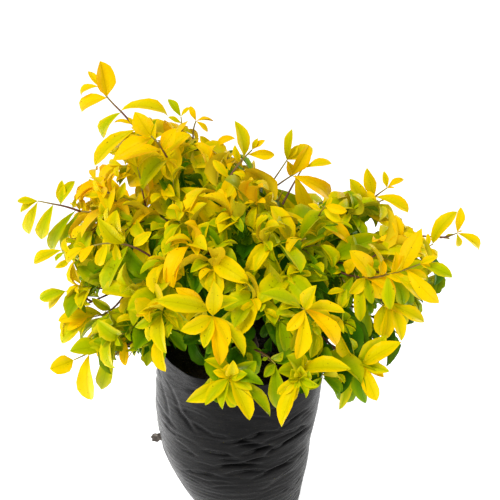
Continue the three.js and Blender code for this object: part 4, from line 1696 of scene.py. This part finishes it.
        (60, 84, 222, 7, 45, 50), (60, 108, 256, 8, 50, 64), (40, 92, 240, 6, 55, 50),
    )),
    Leader("low_back", 0.9, (204, 256), (203, 259), 183, (
        (100, 181, 268, 9, 50, 36), (100, 224, 270, 9, 50, 30), (100, 200, 289, 8, 50, 20),
        (70, 188, 242, 7, 45, 50), (70, 220, 245, 7, 45, 40),
    )),
)  # fmt: skip


@dataclass
class Crown:
    """The twigs and leaves, grown on from the limbs by the rule of the part's source: pairs along
    each stem, each turned a quarter from the last, from the tip inward, and so on along each twig
    and each short shoot in a leaf's axil. A leaf that would leave its mass's reach or touch the
    bag is tried closer and shorter, then left out."""

    skeleton: Skeleton
    bag: GrowBag
    habits: tuple[Habit, ...] = (
        Habit(18, 68, 48, 0.04),
        Habit(13.5, 64, 18, 0.22),
        Habit(8.5, 40, 0, 0.35),
    )
    inner_spacing: float = 24  # between the side shoots of a bough or branch
    inner_bare: float = 0.25  # the share of it that has none
    outer: float = 0.6  # past this share of its length a stem has no twigs
    rosettes: tuple = (
        ((1.0, 0.38), (0.97, 0.74)),
        ((1.0, 0.42), (0.95, 0.82)),
        ((1.0, 0.6),),
    )
    twig_angle: float = 58
    twig_droop: float = 0.2
    leaf_turn: float = 0.5
    leaf_width: tuple = (0.34, 0.47)
    tries: tuple = ((58, 1), (42, 1), (74, 0.9), (32, 0.8), (55, 0.7))
    side_keep: tuple = (1.0, 0.3)
    side_tries: tuple = (1.3, 1.0, 0.7)
    proud: float = 7
    full_reach: float = 32  # pixels; a leader's shorter leaves come less far forward
    front_lean: float = 0.6  # how far the leaves' faces lean aside on a leader in front
    front_arch: float = 1.2  # how much more they arch there than their marks say
    back_lean: float = 0.2  # how far faces lean aside on the other leaders
    tip_spread: float = 0.14  # how much further out than its foot a leader's leaf ends
    tip_stray: float = 11  # how far chance moves that end in depth
    turn_stray: float = 8  # degrees
    slim_from: float = 42  # a leader's leaf longer than this is slimmer than its mark
    sunward: np.ndarray = field(default_factory=lambda: unit(vec(-0.45, -0.55, 1)))
    shade_cell: float = 17
    shade_full: float = 7
    shade_most: float = 0.46
    shade_none: float = 0.13
    view: View = field(default_factory=View)
    outline: Outline = field(default_factory=Outline)
    leaves: list[Leaf] = field(default_factory=list)
    shoots: list[Shoot] = field(default_factory=list)

    def grow(self) -> None:
        """Grows every mass, then the leaders."""
        ended = {leader.mass: leader.leaves_at for leader in LEADERS if leader.ends_stem}
        for index, limb in enumerate(self.skeleton.limbs.values()):
            low, high = (np.array(corner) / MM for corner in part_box(f"foliage_{limb.name}"))
            room = (low - self.proud, high + self.proud)
            line = limb.stem.cut(ended.get(limb.name, 1.0))
            self.grow_shoot(Shoot(line, self.skeleton.limb_tip, 0.9, 0, 0.0, (index,), room))
        for index, leader in enumerate(LEADERS):
            self.grow_leader(leader, index)
        whole = (np.array(CAD_BOX[0]) / MM, np.array(CAD_BOX[1]) / MM)
        for index, limb in enumerate(self.skeleton.limbs.values()):
            ripe = self.ripeness_at(limb.stem.start, index)
            bough = Shoot(limb.curve, 3, 2, 0, ripe, (index, 7), whole)
            leafy = 1 - self.inner_bare
            count = round(bough.line.length() * leafy / self.inner_spacing)
            for node in range(count, 0, -1):
                along = self.inner_bare + leafy * (node - 0.5) / count
                roll = node * math.pi / 2 + between(-0.5, 0.5, index, 7, node)
                self.grow_sides(bough, along, roll, node)

    def grow_leader(self, leader: Leader, index: int) -> None:
        """Grows a leader and its leaves. A leaf's face is turned from straight up toward the front,
        as far as it says, and is set square to the way that the leaf points.

        Args:
            leader: The leader.
            index: Its number.
        """
        stem, keys = self.skeleton.limbs[leader.mass].stem, (LEADER_KEYS + index,)
        root = stem.point(leader.leaves_at)
        front = leader.depth < 0
        lean = self.front_lean if front else self.back_lean
        arching = self.front_arch if front else 1.0
        middle = self.view.sight(*leader.bend, (root[1] + leader.depth) / 2)
        line = Bow(root, middle, self.view.sight(*leader.tip, leader.depth))
        self.shoots.append(Shoot(line, 1.6, 0.8, 1, 0.0, keys))
        for place, row in enumerate(leader.leaves):
            mark = Mark(*row)
            foot = line.point(mark.along / 100)
            off = np.linalg.norm(self.view.pixels(foot[None])[0] - (mark.column, mark.row))
            stray = between(-self.tip_stray, self.tip_stray, *keys, place, 2)
            nearer = self.tip_spread * foot[1] + stray
            depth = foot[1] + nearer * min(1, off / self.full_reach)
            tip = self.view.sight(mark.column, mark.row, depth)
            reach = tip - foot
            wry = between(-self.turn_stray, self.turn_stray, *keys, place, 3)
            turn = math.radians(mark.turn + wry)
            light = vec(between(-lean, lean, *keys, place, 4), -math.sin(turn), math.cos(turn))
            point = unit(reach)
            face = unit(light - point * light.dot(point))
            arch = arching * (mark.arch / 10)
            # An arc is longer than its chord by about a share of arch²/24.
            length = float(np.linalg.norm(reach)) * (1 + arch**2 / 24)
            width = mark.width / 100 * min(1, self.slim_from / length) ** 0.5
            grown = (length, mark.ripeness / 100, arch, width, (*keys, place))
            self.leaves.append(Leaf(foot, point, face, *grown))

    def green_the_shaded(self) -> None:
        """Makes the leaves that others shade greener and darker: partly their own colour, as shaded
        leaves of this shrub stay green, and partly painted shade. Seen from the sun, the crown is
        laid out in square cells, and each leaf counts those above it in its cell. The leaders'
        leaves have their ripeness from their marks and stay as they are."""
        side = unit(np.cross(self.sunward, UP))
        over = np.cross(side, self.sunward)
        middles = np.stack([leaf.root + 0.5 * leaf.length * leaf.point for leaf in self.leaves])
        cells = np.floor(middles @ np.stack([side, over], axis=-1) / self.shade_cell)
        cell = cells[:, 0] * 1000 + cells[:, 1]
        order = np.lexsort((-(middles @ self.sunward), cell))
        first = np.concatenate([[True], np.diff(cell[order]) != 0])
        place = np.arange(len(order))
        above = np.empty(len(order))
        above[order] = place - np.maximum.accumulate(np.where(first, place, 0))
        shade = self.shade_most * np.minimum(above / self.shade_full, 1) - self.shade_none
        self.leaves = [
            leaf if leaf.keys[0] >= LEADER_KEYS else replace(leaf, ripeness=leaf.ripeness - dark)
            for leaf, dark in zip(self.leaves, shade)
        ]

    def ripeness_at(self, place: np.ndarray, *keys: int) -> float:
        """Gives how golden a spray is, from 0 to 1: more so further out and higher up.

        Args:
            place: The tip of the spray.
            keys: Whole numbers that name the draw.

        Returns:
            The ripeness.
        """
        away = (place - np.array(self.skeleton.root)) * vec(1, 1.1, 1)
        out = np.linalg.norm(away) / self.skeleton.reach
        high = (place[2] - 240) / 300
        return float(0.56 * min(out, 1.25) + 0.24 * high - 0.13 + between(-0.22, 0.22, *keys, 61))

    def grow_shoot(self, shoot: Shoot) -> None:
        """Grows one shoot's leaves and its side shoots, from the tip inward.

        Args:
            shoot: The shoot.
        """
        line, habit, keys = shoot.line, self.habits[shoot.order], shoot.keys
        shoot = replace(shoot, ripeness=self.ripeness_at(line.end, *keys))
        self.shoots.append(shoot)
        self.grow_rosette(shoot)
        length = line.length()
        count = max(1, round(length * (1 - habit.bare) / habit.spacing))
        for node in range(count, 0, -1):
            along = habit.bare + (1 - habit.bare) * (node - 0.45) / count
            roll = node * math.pi / 2 + between(-0.3, 0.3, *keys, node)
            young = 1 - 0.35 * (node / count) ** 3
            self.grow_pair(shoot, along, roll, habit.leaf * young, (*keys, node))
            if habit.side and (shoot.order or along < self.outer):
                self.grow_sides(shoot, along, roll + 0.35, node)

    def grow_sides(self, shoot: Shoot, along: float, roll: float, node: int) -> None:
        """Grows the pair of side shoots at one place of a shoot.

        Args:
            shoot: The shoot.
            along: The place.
            roll: How far the pair is turned, in radians.
            node: The place's number.
        """
        habit, keep = self.habits[shoot.order], self.side_keep[shoot.order]
        tangent, out = self.pair_directions(shoot.line, along, roll)
        for side, way in enumerate((out, -out)):
            keys = (*shoot.keys, node, side)
            if chance(*keys, 51) > keep:
                continue
            root = shoot.line.point(along)
            lean = self.leaning(tangent, way, self.twig_angle)
            outward = unit(root - np.array(self.skeleton.root))
            lean = unit(lean + 0.25 * outward)
            for share in self.side_tries:
                length = share * habit.side * between(0.8, 1.15, *keys) * (1 - 0.3 * along)
                reach = lean * length
                tip = root + reach - UP * self.twig_droop * length * 0.6
                line = Bow(root, root + 0.5 * reach + UP * 0.03 * length, tip)
                if self.keeps(line.point(np.linspace(0.1, 1, 4)), shoot.room):
                    thick = 1.15 if shoot.order == 0 else 0.7
                    grown = (line, thick, 0.45, shoot.order + 1, 0, keys, shoot.room)
                    self.grow_shoot(Shoot(*grown))
                    break

    def grow_rosette(self, shoot: Shoot) -> None:
        """Grows the young leaves at a shoot's tip, in close pairs.

        Args:
            shoot: The shoot.
        """
        full = self.habits[shoot.order].leaf
        for pair, (along, share) in enumerate(self.rosettes[shoot.order]):
            roll = pair * math.pi / 2 + between(-0.4, 0.4, *shoot.keys, 77)
            self.grow_pair(shoot, along, roll, full * share, (*shoot.keys, 90 + pair))

    @staticmethod
    def pair_directions(line: Bow, along: float, roll: float) -> tuple[np.ndarray, np.ndarray]:
        """Gives the tangent at a place and the way straight out of it, turned by roll.

        Args:
            line: The shoot's line.
            along: The place.
            roll: In radians.

        Returns:
            The tangent and the way out.
        """
        tangent = line.tangent(along)
        side = unit(np.cross(tangent, UP) + vec(1e-6, 0, 0))
        over = np.cross(side, tangent)
        return tangent, side * math.cos(roll) + over * math.sin(roll)

    @staticmethod
    def leaning(tangent: np.ndarray, out: np.ndarray, degrees: float) -> np.ndarray:
        """Gives the direction that leans out of a tangent by degrees."""
        angle = math.radians(degrees)
        return tangent * math.cos(angle) + out * math.sin(angle)

    def grow_pair(
        self, shoot: Shoot, along: float, roll: float, length: float, keys: tuple[int, ...]
    ) -> None:
        """Grows a pair of leaves, each as the first of the tries that fits.

        Args:
            shoot: The shoot.
            along: The place.
            roll: How far the pair is turned, in radians.
            length: The length of a full leaf there.
            keys: Whole numbers that name the pair.
        """
        tangent, out = self.pair_directions(shoot.line, along, roll)
        root = shoot.line.point(along)
        ripeness = shoot.ripeness - 0.22 * (1 - along) + between(-0.07, 0.07, *keys, 62)
        for side, way in enumerate((out, -out)):
            for degrees, share in self.tries:
                point = self.leaning(tangent, way, degrees)
                leaf = self.leaf(root, point, length * share, ripeness, (*keys, side))
                ends = leaf.root + leaf.point * leaf.length * np.array([0.3, 0.6, 1])[:, None]
                drop = UP * np.array([0, 0, 0.12])[:, None] * leaf.length
                if self.keeps(ends - drop, shoot.room):
                    self.leaves.append(leaf)
                    break

    def leaf(
        self, root: np.ndarray, way: np.ndarray, length: float, ripeness: float, keys: tuple
    ) -> Leaf:
        """Sets one leaf, by the source's rule: it leans out of the twig, is drawn outward and down,
        and looks up and away from the crown's root.

        Args:
            root: Where it grows.
            way: The direction that it leaves the twig in.
            length: Its length, before chance.
            ripeness: How golden it is.
            keys: Whole numbers that name the leaf.

        Returns:
            The leaf.
        """
        outward = unit(root - np.array(self.skeleton.root))
        point = unit(way + 0.2 * outward + UP * between(-0.6, 0.1, *keys, 1))
        turn = [between(-self.leaf_turn, self.leaf_turn, *keys, 2 + axis) for axis in range(3)]
        light = 0.5 * outward + 0.62 * UP + np.array(turn)
        face = unit(light - point * light.dot(point))
        arch = 0.8 + 1.6 * chance(*keys, 6) ** 1.1
        length *= between(0.7, 1.12, *keys, 5)
        width = between(*self.leaf_width, *keys, 7)
        return Leaf(root, point, face, length, ripeness, arch, width, keys)

    def keeps(self, points: np.ndarray, room: tuple[np.ndarray, np.ndarray]) -> bool:
        """Tells whether points keep to their mass's space, clear of the bag and the soil.

        Args:
            points: A row for each.
            room: The space's lowest and highest corner.

        Returns:
            True if all do.
        """
        if (points < room[0]).any() or (points > room[1]).any():
            return False
        if not self.outline.covers(self.view.pixels(points), points[:, 1]):
            return False
        radius, shift = self.bag.profile(points[:, 2])
        out = np.hypot(points[:, 0] - shift, points[:, 1] / self.bag.depth_share) - radius
        below_rim = points[:, 2] < self.bag.stations[-1][0] + 5
        near_wall = (out > -4) & (out < 3)
        in_soil = (out < 0) & (points[:, 2] < 258)
        return not (below_rim & (near_wall | in_soil)).any()

    def build_twigs(self, order: int) -> bpy.types.Object:
        """Builds the shoots of one order as tubes, with a swelling at each pair of leaves.

        Args:
            order: 0 for the stems, 1 for twigs, 2 for short shoots.

        Returns:
            The object.
        """
        shoots = [shoot for shoot in self.shoots if shoot.order == order]
        rings, sides = ((26, 8), (12, 6), (5, 5))[order]
        t = np.linspace(0, 1, rings)
        centres = np.stack([shoot.line.point(t) for shoot in shoots])
        tangents = np.stack([shoot.line.tangent(t) for shoot in shoots])
        thick = np.array([shoot.thick for shoot in shoots])[:, None]
        thin = np.array([shoot.thin for shoot in shoots])[:, None]
        radius = thick + (thin - thick) * t
        wobble = rumple(centres, 26, 50)[..., None] * vec(1, 1, 1) * np.sin(np.pi * t)[:, None]
        age = (0.3 + 0.15 * order) + (0.55 - 0.1 * order) * t + 0 * radius
        name = ("stems", "twigs", "short_shoots")[order]
        return tubes(name, centres + 1.2 * wobble, tangents, radius, sides, {"age": age})


@dataclass
class Blades:
    """The shape of the leaves, worked out for all the leaves of one tone at once."""

    thickness: float = 0.45
    stations: tuple = (0.05, 0.13, 0.26, 0.4, 0.55, 0.69, 0.82, 0.92)
    small_stations: tuple = (0.08, 0.3, 0.55, 0.8)
    small: float = 17  # shorter leaves have fewer faces
    most: int = 1400  # in one piece

    @staticmethod
    def outline(t: np.ndarray) -> np.ndarray:
        """Gives the half width along a leaf, as a share of its largest: t^1.35·(1-t), with a
        narrow stalk at the root.

        Args:
            t: The places, from 0 at the root to 1 at the tip.

        Returns:
            The share at each place.
        """
        rise, fall = 1.35, 1.0
        peak = rise / (rise + fall)
        shape = (t / peak) ** rise * ((1 - t) / (1 - peak)) ** fall
        return np.maximum(shape, 0.09 * (1 - t) ** 4)

    @staticmethod
    def faces(rows: int, half: int) -> tuple[Faces, np.ndarray, np.ndarray]:
        """Joins a leaf's corners: in each row the upper ones from edge to edge, then the lower ones
        between the edges, and last the root and the tip.

        Args:
            rows: How many rows of corners between root and tip.
            half: How many strips on each side of the midrib.

        Returns:
            The faces, which upper or lower place each corner has across the leaf, and for each face
            whether it is on the lower side.
        """
        top, low = 2 * half + 1, 2 * half - 1
        size = top + low
        upper = np.arange(top)
        lower = np.concatenate([[0], top + np.arange(low), [top - 1]])
        row = (np.arange(rows - 1) * size)[:, None]
        root, tip, last = rows * size, rows * size + 1, (rows - 1) * size
        quads, fans, under_quads, under_fans = [], [], [], []
        for line, turned in ((upper, False), (lower, True)):
            a, b = row + line[:-1], row + line[1:]
            quad = np.stack([a, a + size, b + size, b], axis=-1).reshape(-1, 4)
            foot = np.stack([np.full(top - 1, root), line[:-1], line[1:]], axis=-1)
            head = np.stack([last + line[:-1], np.full(top - 1, tip), last + line[1:]], axis=-1)
            fan = np.concatenate([foot, head])
            quads.append(quad[:, ::-1] if turned else quad)
            fans.append(fan[:, ::-1] if turned else fan)
            under_quads.append(np.full(len(quad), turned))
            under_fans.append(np.full(len(fan), turned))
        faces = Faces(rows * size + 2, np.concatenate(quads), np.concatenate(fans))
        across = np.concatenate([np.linspace(-1, 1, top), np.linspace(-1, 1, top)[1:-1]])
        return faces, across, np.concatenate([*under_quads, *under_fans])

    def build(self, name: str, leaves: list[Leaf], fine: bool) -> bpy.types.Object:
        """Builds leaves as one mesh. A leaf's midrib is an arc that starts above its direction and
        bends down; its two halves rise from the midrib as a fold and curl back toward the margin;
        its edge waves; and it is twisted about the midrib. Two faces enclose its thickness.

        Args:
            name: The piece's name.
            leaves: The leaves.
            fine: Whether they have the fine grid of corners.

        Returns:
            The object.
        """
        stations = np.array(self.stations if fine else self.small_stations)
        rows, half = len(stations), 2 if fine else 1
        faces, across, under = self.faces(rows, half)
        size = len(across)
        count = len(leaves)
        draw = np.array([[chance(*leaf.keys, 31 + i) for i in range(5)] for leaf in leaves])
        twisted, folded, curled, phased, waved = draw.T[:, :, None, None]
        root, point, face, length, bend, width = (
            np.array([getattr(leaf, key) for leaf in leaves])[:, None, None]
            for key in ("root", "point", "face", "length", "arch", "width")
        )
        side = np.cross(face, point)

        t = np.concatenate([[0.0], stations, [1.0]])[None, :, None]
        v = across[None, None, :]
        lift = 0.45 * bend
        turned = lift - bend * t
        ahead = length * (np.sin(lift) - np.sin(turned)) / bend
        above = length * (np.cos(turned) - np.cos(lift)) / bend
        twist = (twisted - 0.5) * 1.1 * t
        uneven = 1 + 0.07 * np.sin(12 * t + 7 * np.sign(v) + 40 * width)
        reach = 0.5 * width * length * self.outline(t) * uneven
        normal = face * np.cos(turned)[..., None] - point * np.sin(turned)[..., None]
        across_way = side * np.cos(twist)[..., None] + normal * np.sin(twist)[..., None]
        normal = normal * np.cos(twist)[..., None] - side * np.sin(twist)[..., None]
        fold = 0.75 + 0.6 * folded
        curl = 0.3 * fold + 0.25 * curled
        wave = 0.2 * waved * np.sin(9 * t + 2 * np.pi * phased + np.sign(v)) * np.abs(v)
        height = reach * (fold * np.abs(v) - curl * v**2 + wave)
        lower = np.concatenate([np.zeros(2 * half + 1), np.ones(2 * half - 1)])
        side_sign = np.where(np.abs(across) > 0.99, 0, 1 - 2 * lower)[None, None, :]
        thick = self.thickness * np.minimum(1, self.outline(t) + 0.25) * (1 - 0.5 * v**2)
        height = height + side_sign * thick / 2
        centre = root + point * ahead[..., None] + face * above[..., None]
        grid = centre + across_way * (v * reach)[..., None] + normal * height[..., None]

        body = grid[:, 1:-1].reshape(count, -1, 3)
        ends = centre[:, [0, -1], 0]
        points = np.concatenate([body, ends], axis=1).reshape(-1, 3)
        quads, triangles = faces.repeated(count)
        # The map's x is the place across the leaf, 2 further on the lower side; its y runs along.
        place = np.concatenate([np.tile(0.5 + across / 2, rows), [0.5, 0.5]])
        along = np.concatenate([np.repeat(stations, size), [0.0, 1.0]])
        corner = np.concatenate([faces.quads.ravel(), faces.triangles.ravel()])
        quad_corners = 4 * len(faces.quads)
        turns = np.repeat((4, 3), (len(faces.quads), len(faces.triangles)))
        uv = np.stack([place[corner] + 2 * np.repeat(under, turns), along[corner]], axis=-1)
        halves = uv[:quad_corners], uv[quad_corners:]
        uv = np.concatenate([np.tile(half_uv, (count, 1)) for half_uv in halves])
        dealt = np.array([chance(*leaf.keys, 40) for leaf in leaves]) * 0.8 - 0.1
        values = {"dealt": np.repeat(dealt, faces.corners)}
        piece = shell(name, points, quads, triangles, uv, values)
        outer = np.concatenate([np.tile(np.abs(across) > 0.99, rows), [True, True]])
        sharpen(piece, np.tile(outer, count))
        return piece


# The studio


@dataclass
class Studio:
    """The camera at the photograph's angle, a pale floor and soft light."""

    effects: Effects
    view: View = field(default_factory=View)
    sensor: float = 36
    floor_size: float = 100  # metres
    sky: float = 0.58  # the world's strength
    sun_spread: float = 24  # degrees
    sun_strength: float = 1.9
    panel_power: float = 6  # watts
    panels: tuple = (  # each one's name, place, aim and side, in metres
        ("left", (-0.5, -0.04, 0.26), (-0.5, -0.04, 0), 0.4),
        ("right", (0.8, 0.4, 0.5), (0.7, 0.4, 0), 0.3),
    )

    def set_camera(self) -> None:
        """Sets the camera in front of the plant, looking down at it."""
        camera = bpy.data.cameras.new("camera")
        view = self.view
        camera.sensor_width = self.sensor
        camera.lens = self.sensor * view.distance / (view.picture * view.scale)
        holder = bpy.data.objects.new("camera", camera)
        holder.location = view.eye * MM
        holder.rotation_euler = (math.pi / 2 - math.radians(view.elevation), 0, 0)
        bpy.context.scene.collection.objects.link(holder)
        bpy.context.scene.camera = holder

    def set_floor(self) -> None:
        """Lays the floor, a plane."""
        half = self.floor_size / 2 / MM
        corners = np.array([[-half, -half, 0], [half, -half, 0], [half, half, 0], [-half, half, 0]])
        floor = shell("floor", corners, np.array([[0, 1, 2, 3]]), np.zeros((0, 3), int))
        floor.data.materials.append(FloorFinish("floor").build(self.effects))

    @staticmethod
    def add_lamp(
        name: str, kind: str, place: np.ndarray, away: np.ndarray, **settings: object
    ) -> None:
        """Adds a lamp.

        Args:
            name: The lamp's name.
            kind: SUN or AREA.
            place: Where it stands, in metres.
            away: The direction of its back.
            settings: Its own settings.
        """
        lamp = bpy.data.lights.new(name, kind)
        for key, value in settings.items():
            setattr(lamp, key, value)
        holder = bpy.data.objects.new(name, lamp)
        holder.location = place
        x, y, z = unit(away)
        holder.rotation_euler = (math.acos(z), 0, math.atan2(y, x) + math.pi / 2)
        bpy.context.scene.collection.objects.link(holder)

    def set_light(self) -> None:
        """Lights the scene: a pale world, a soft sun from the upper left, and two panels that light
        the floor beside the bag, whose sides mirror it."""
        world = bpy.data.worlds.new("studio")
        world.use_nodes = True
        background = world.node_tree.nodes["Background"]
        background.inputs["Color"].default_value = (1, 1, 1, 1)
        background.inputs["Strength"].default_value = self.sky
        bpy.context.scene.world = world
        sun = {"angle": math.radians(self.sun_spread), "energy": self.sun_strength}
        self.add_lamp("key", "SUN", vec(0, 0, 0), vec(-0.4, -0.62, 1.0), **sun)
        for name, place, aim, size in self.panels:
            panel = {"shape": "SQUARE", "size": size, "energy": self.panel_power}
            self.add_lamp(name, "AREA", vec(*place), vec(*place) - vec(*aim), **panel)
        bpy.context.scene.view_settings.view_transform = "Standard"

    def build(self) -> None:
        """Builds the studio."""
        self.set_camera()
        self.set_floor()
        self.set_light()


def main() -> None:
    """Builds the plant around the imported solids, piece by piece."""
    logging.basicConfig(level=logging.INFO, format="%(message)s")
    effects = Effects()
    Studio(effects).build()
    film, earth = FilmFinish().build(effects), EarthFinish().build(effects)

    bag = GrowBag()
    soil = Soil(bag)
    dress(bag.build(), film, ["grow_bag"])
    dress(FilmFlap(bag).build(), TORN_FILM.build(effects), ["film_flap"])
    dress(soil.build(), earth, ["soil"])
    dress(soil.build_clods(), earth, [])

    skeleton = Skeleton()
    skeleton.plan()
    wood = Woodwork(skeleton)
    limbs = [f"{limb.kind}_{limb.name}" for limb in skeleton.limbs.values()]
    dress(wood.build_trunk(), BarkFinish("bark").build(effects), ["trunk"])
    dress(wood.build_limbs(), BarkFinish("limb_bark").build(effects), limbs)

    crown = Crown(skeleton, bag)
    crown.grow()
    crown.green_the_shaded()
    masses = [f"foliage_{name}" for name in skeleton.limbs]
    shoot_bark = BarkFinish("shoot_bark", grain=0.4).build(effects)
    for order in range(len(crown.habits)):
        dress(crown.build_twigs(order), shoot_bark, masses if order == 0 else [])
    blades = Blades()
    tones = list(Tone)
    log.info("%d leaves on %d shoots", len(crown.leaves), len(crown.shoots))
    shares = [int(leaf.ripeness * len(tones)) for leaf in crown.leaves]
    places = np.clip(shares, 0, len(tones) - 1)
    for index, tone in enumerate(tones):
        finish = LeafFinish(f"leaf_{tone.name.lower()}", tone).build(effects)
        dealt = [leaf for leaf, place in zip(crown.leaves, places) if place == index]
        for word, fine in (("leaves", True), ("young", False)):
            chosen = [leaf for leaf in dealt if (leaf.length > blades.small) == fine]
            for start in range(0, len(chosen), blades.most):
                name = f"{word}_{tone.name.lower()}_{start // blades.most + 1}"
                piece = blades.build(name, chosen[start : start + blades.most], fine)
                dress(piece, finish, masses)


if __name__ == "__main__":
    main()
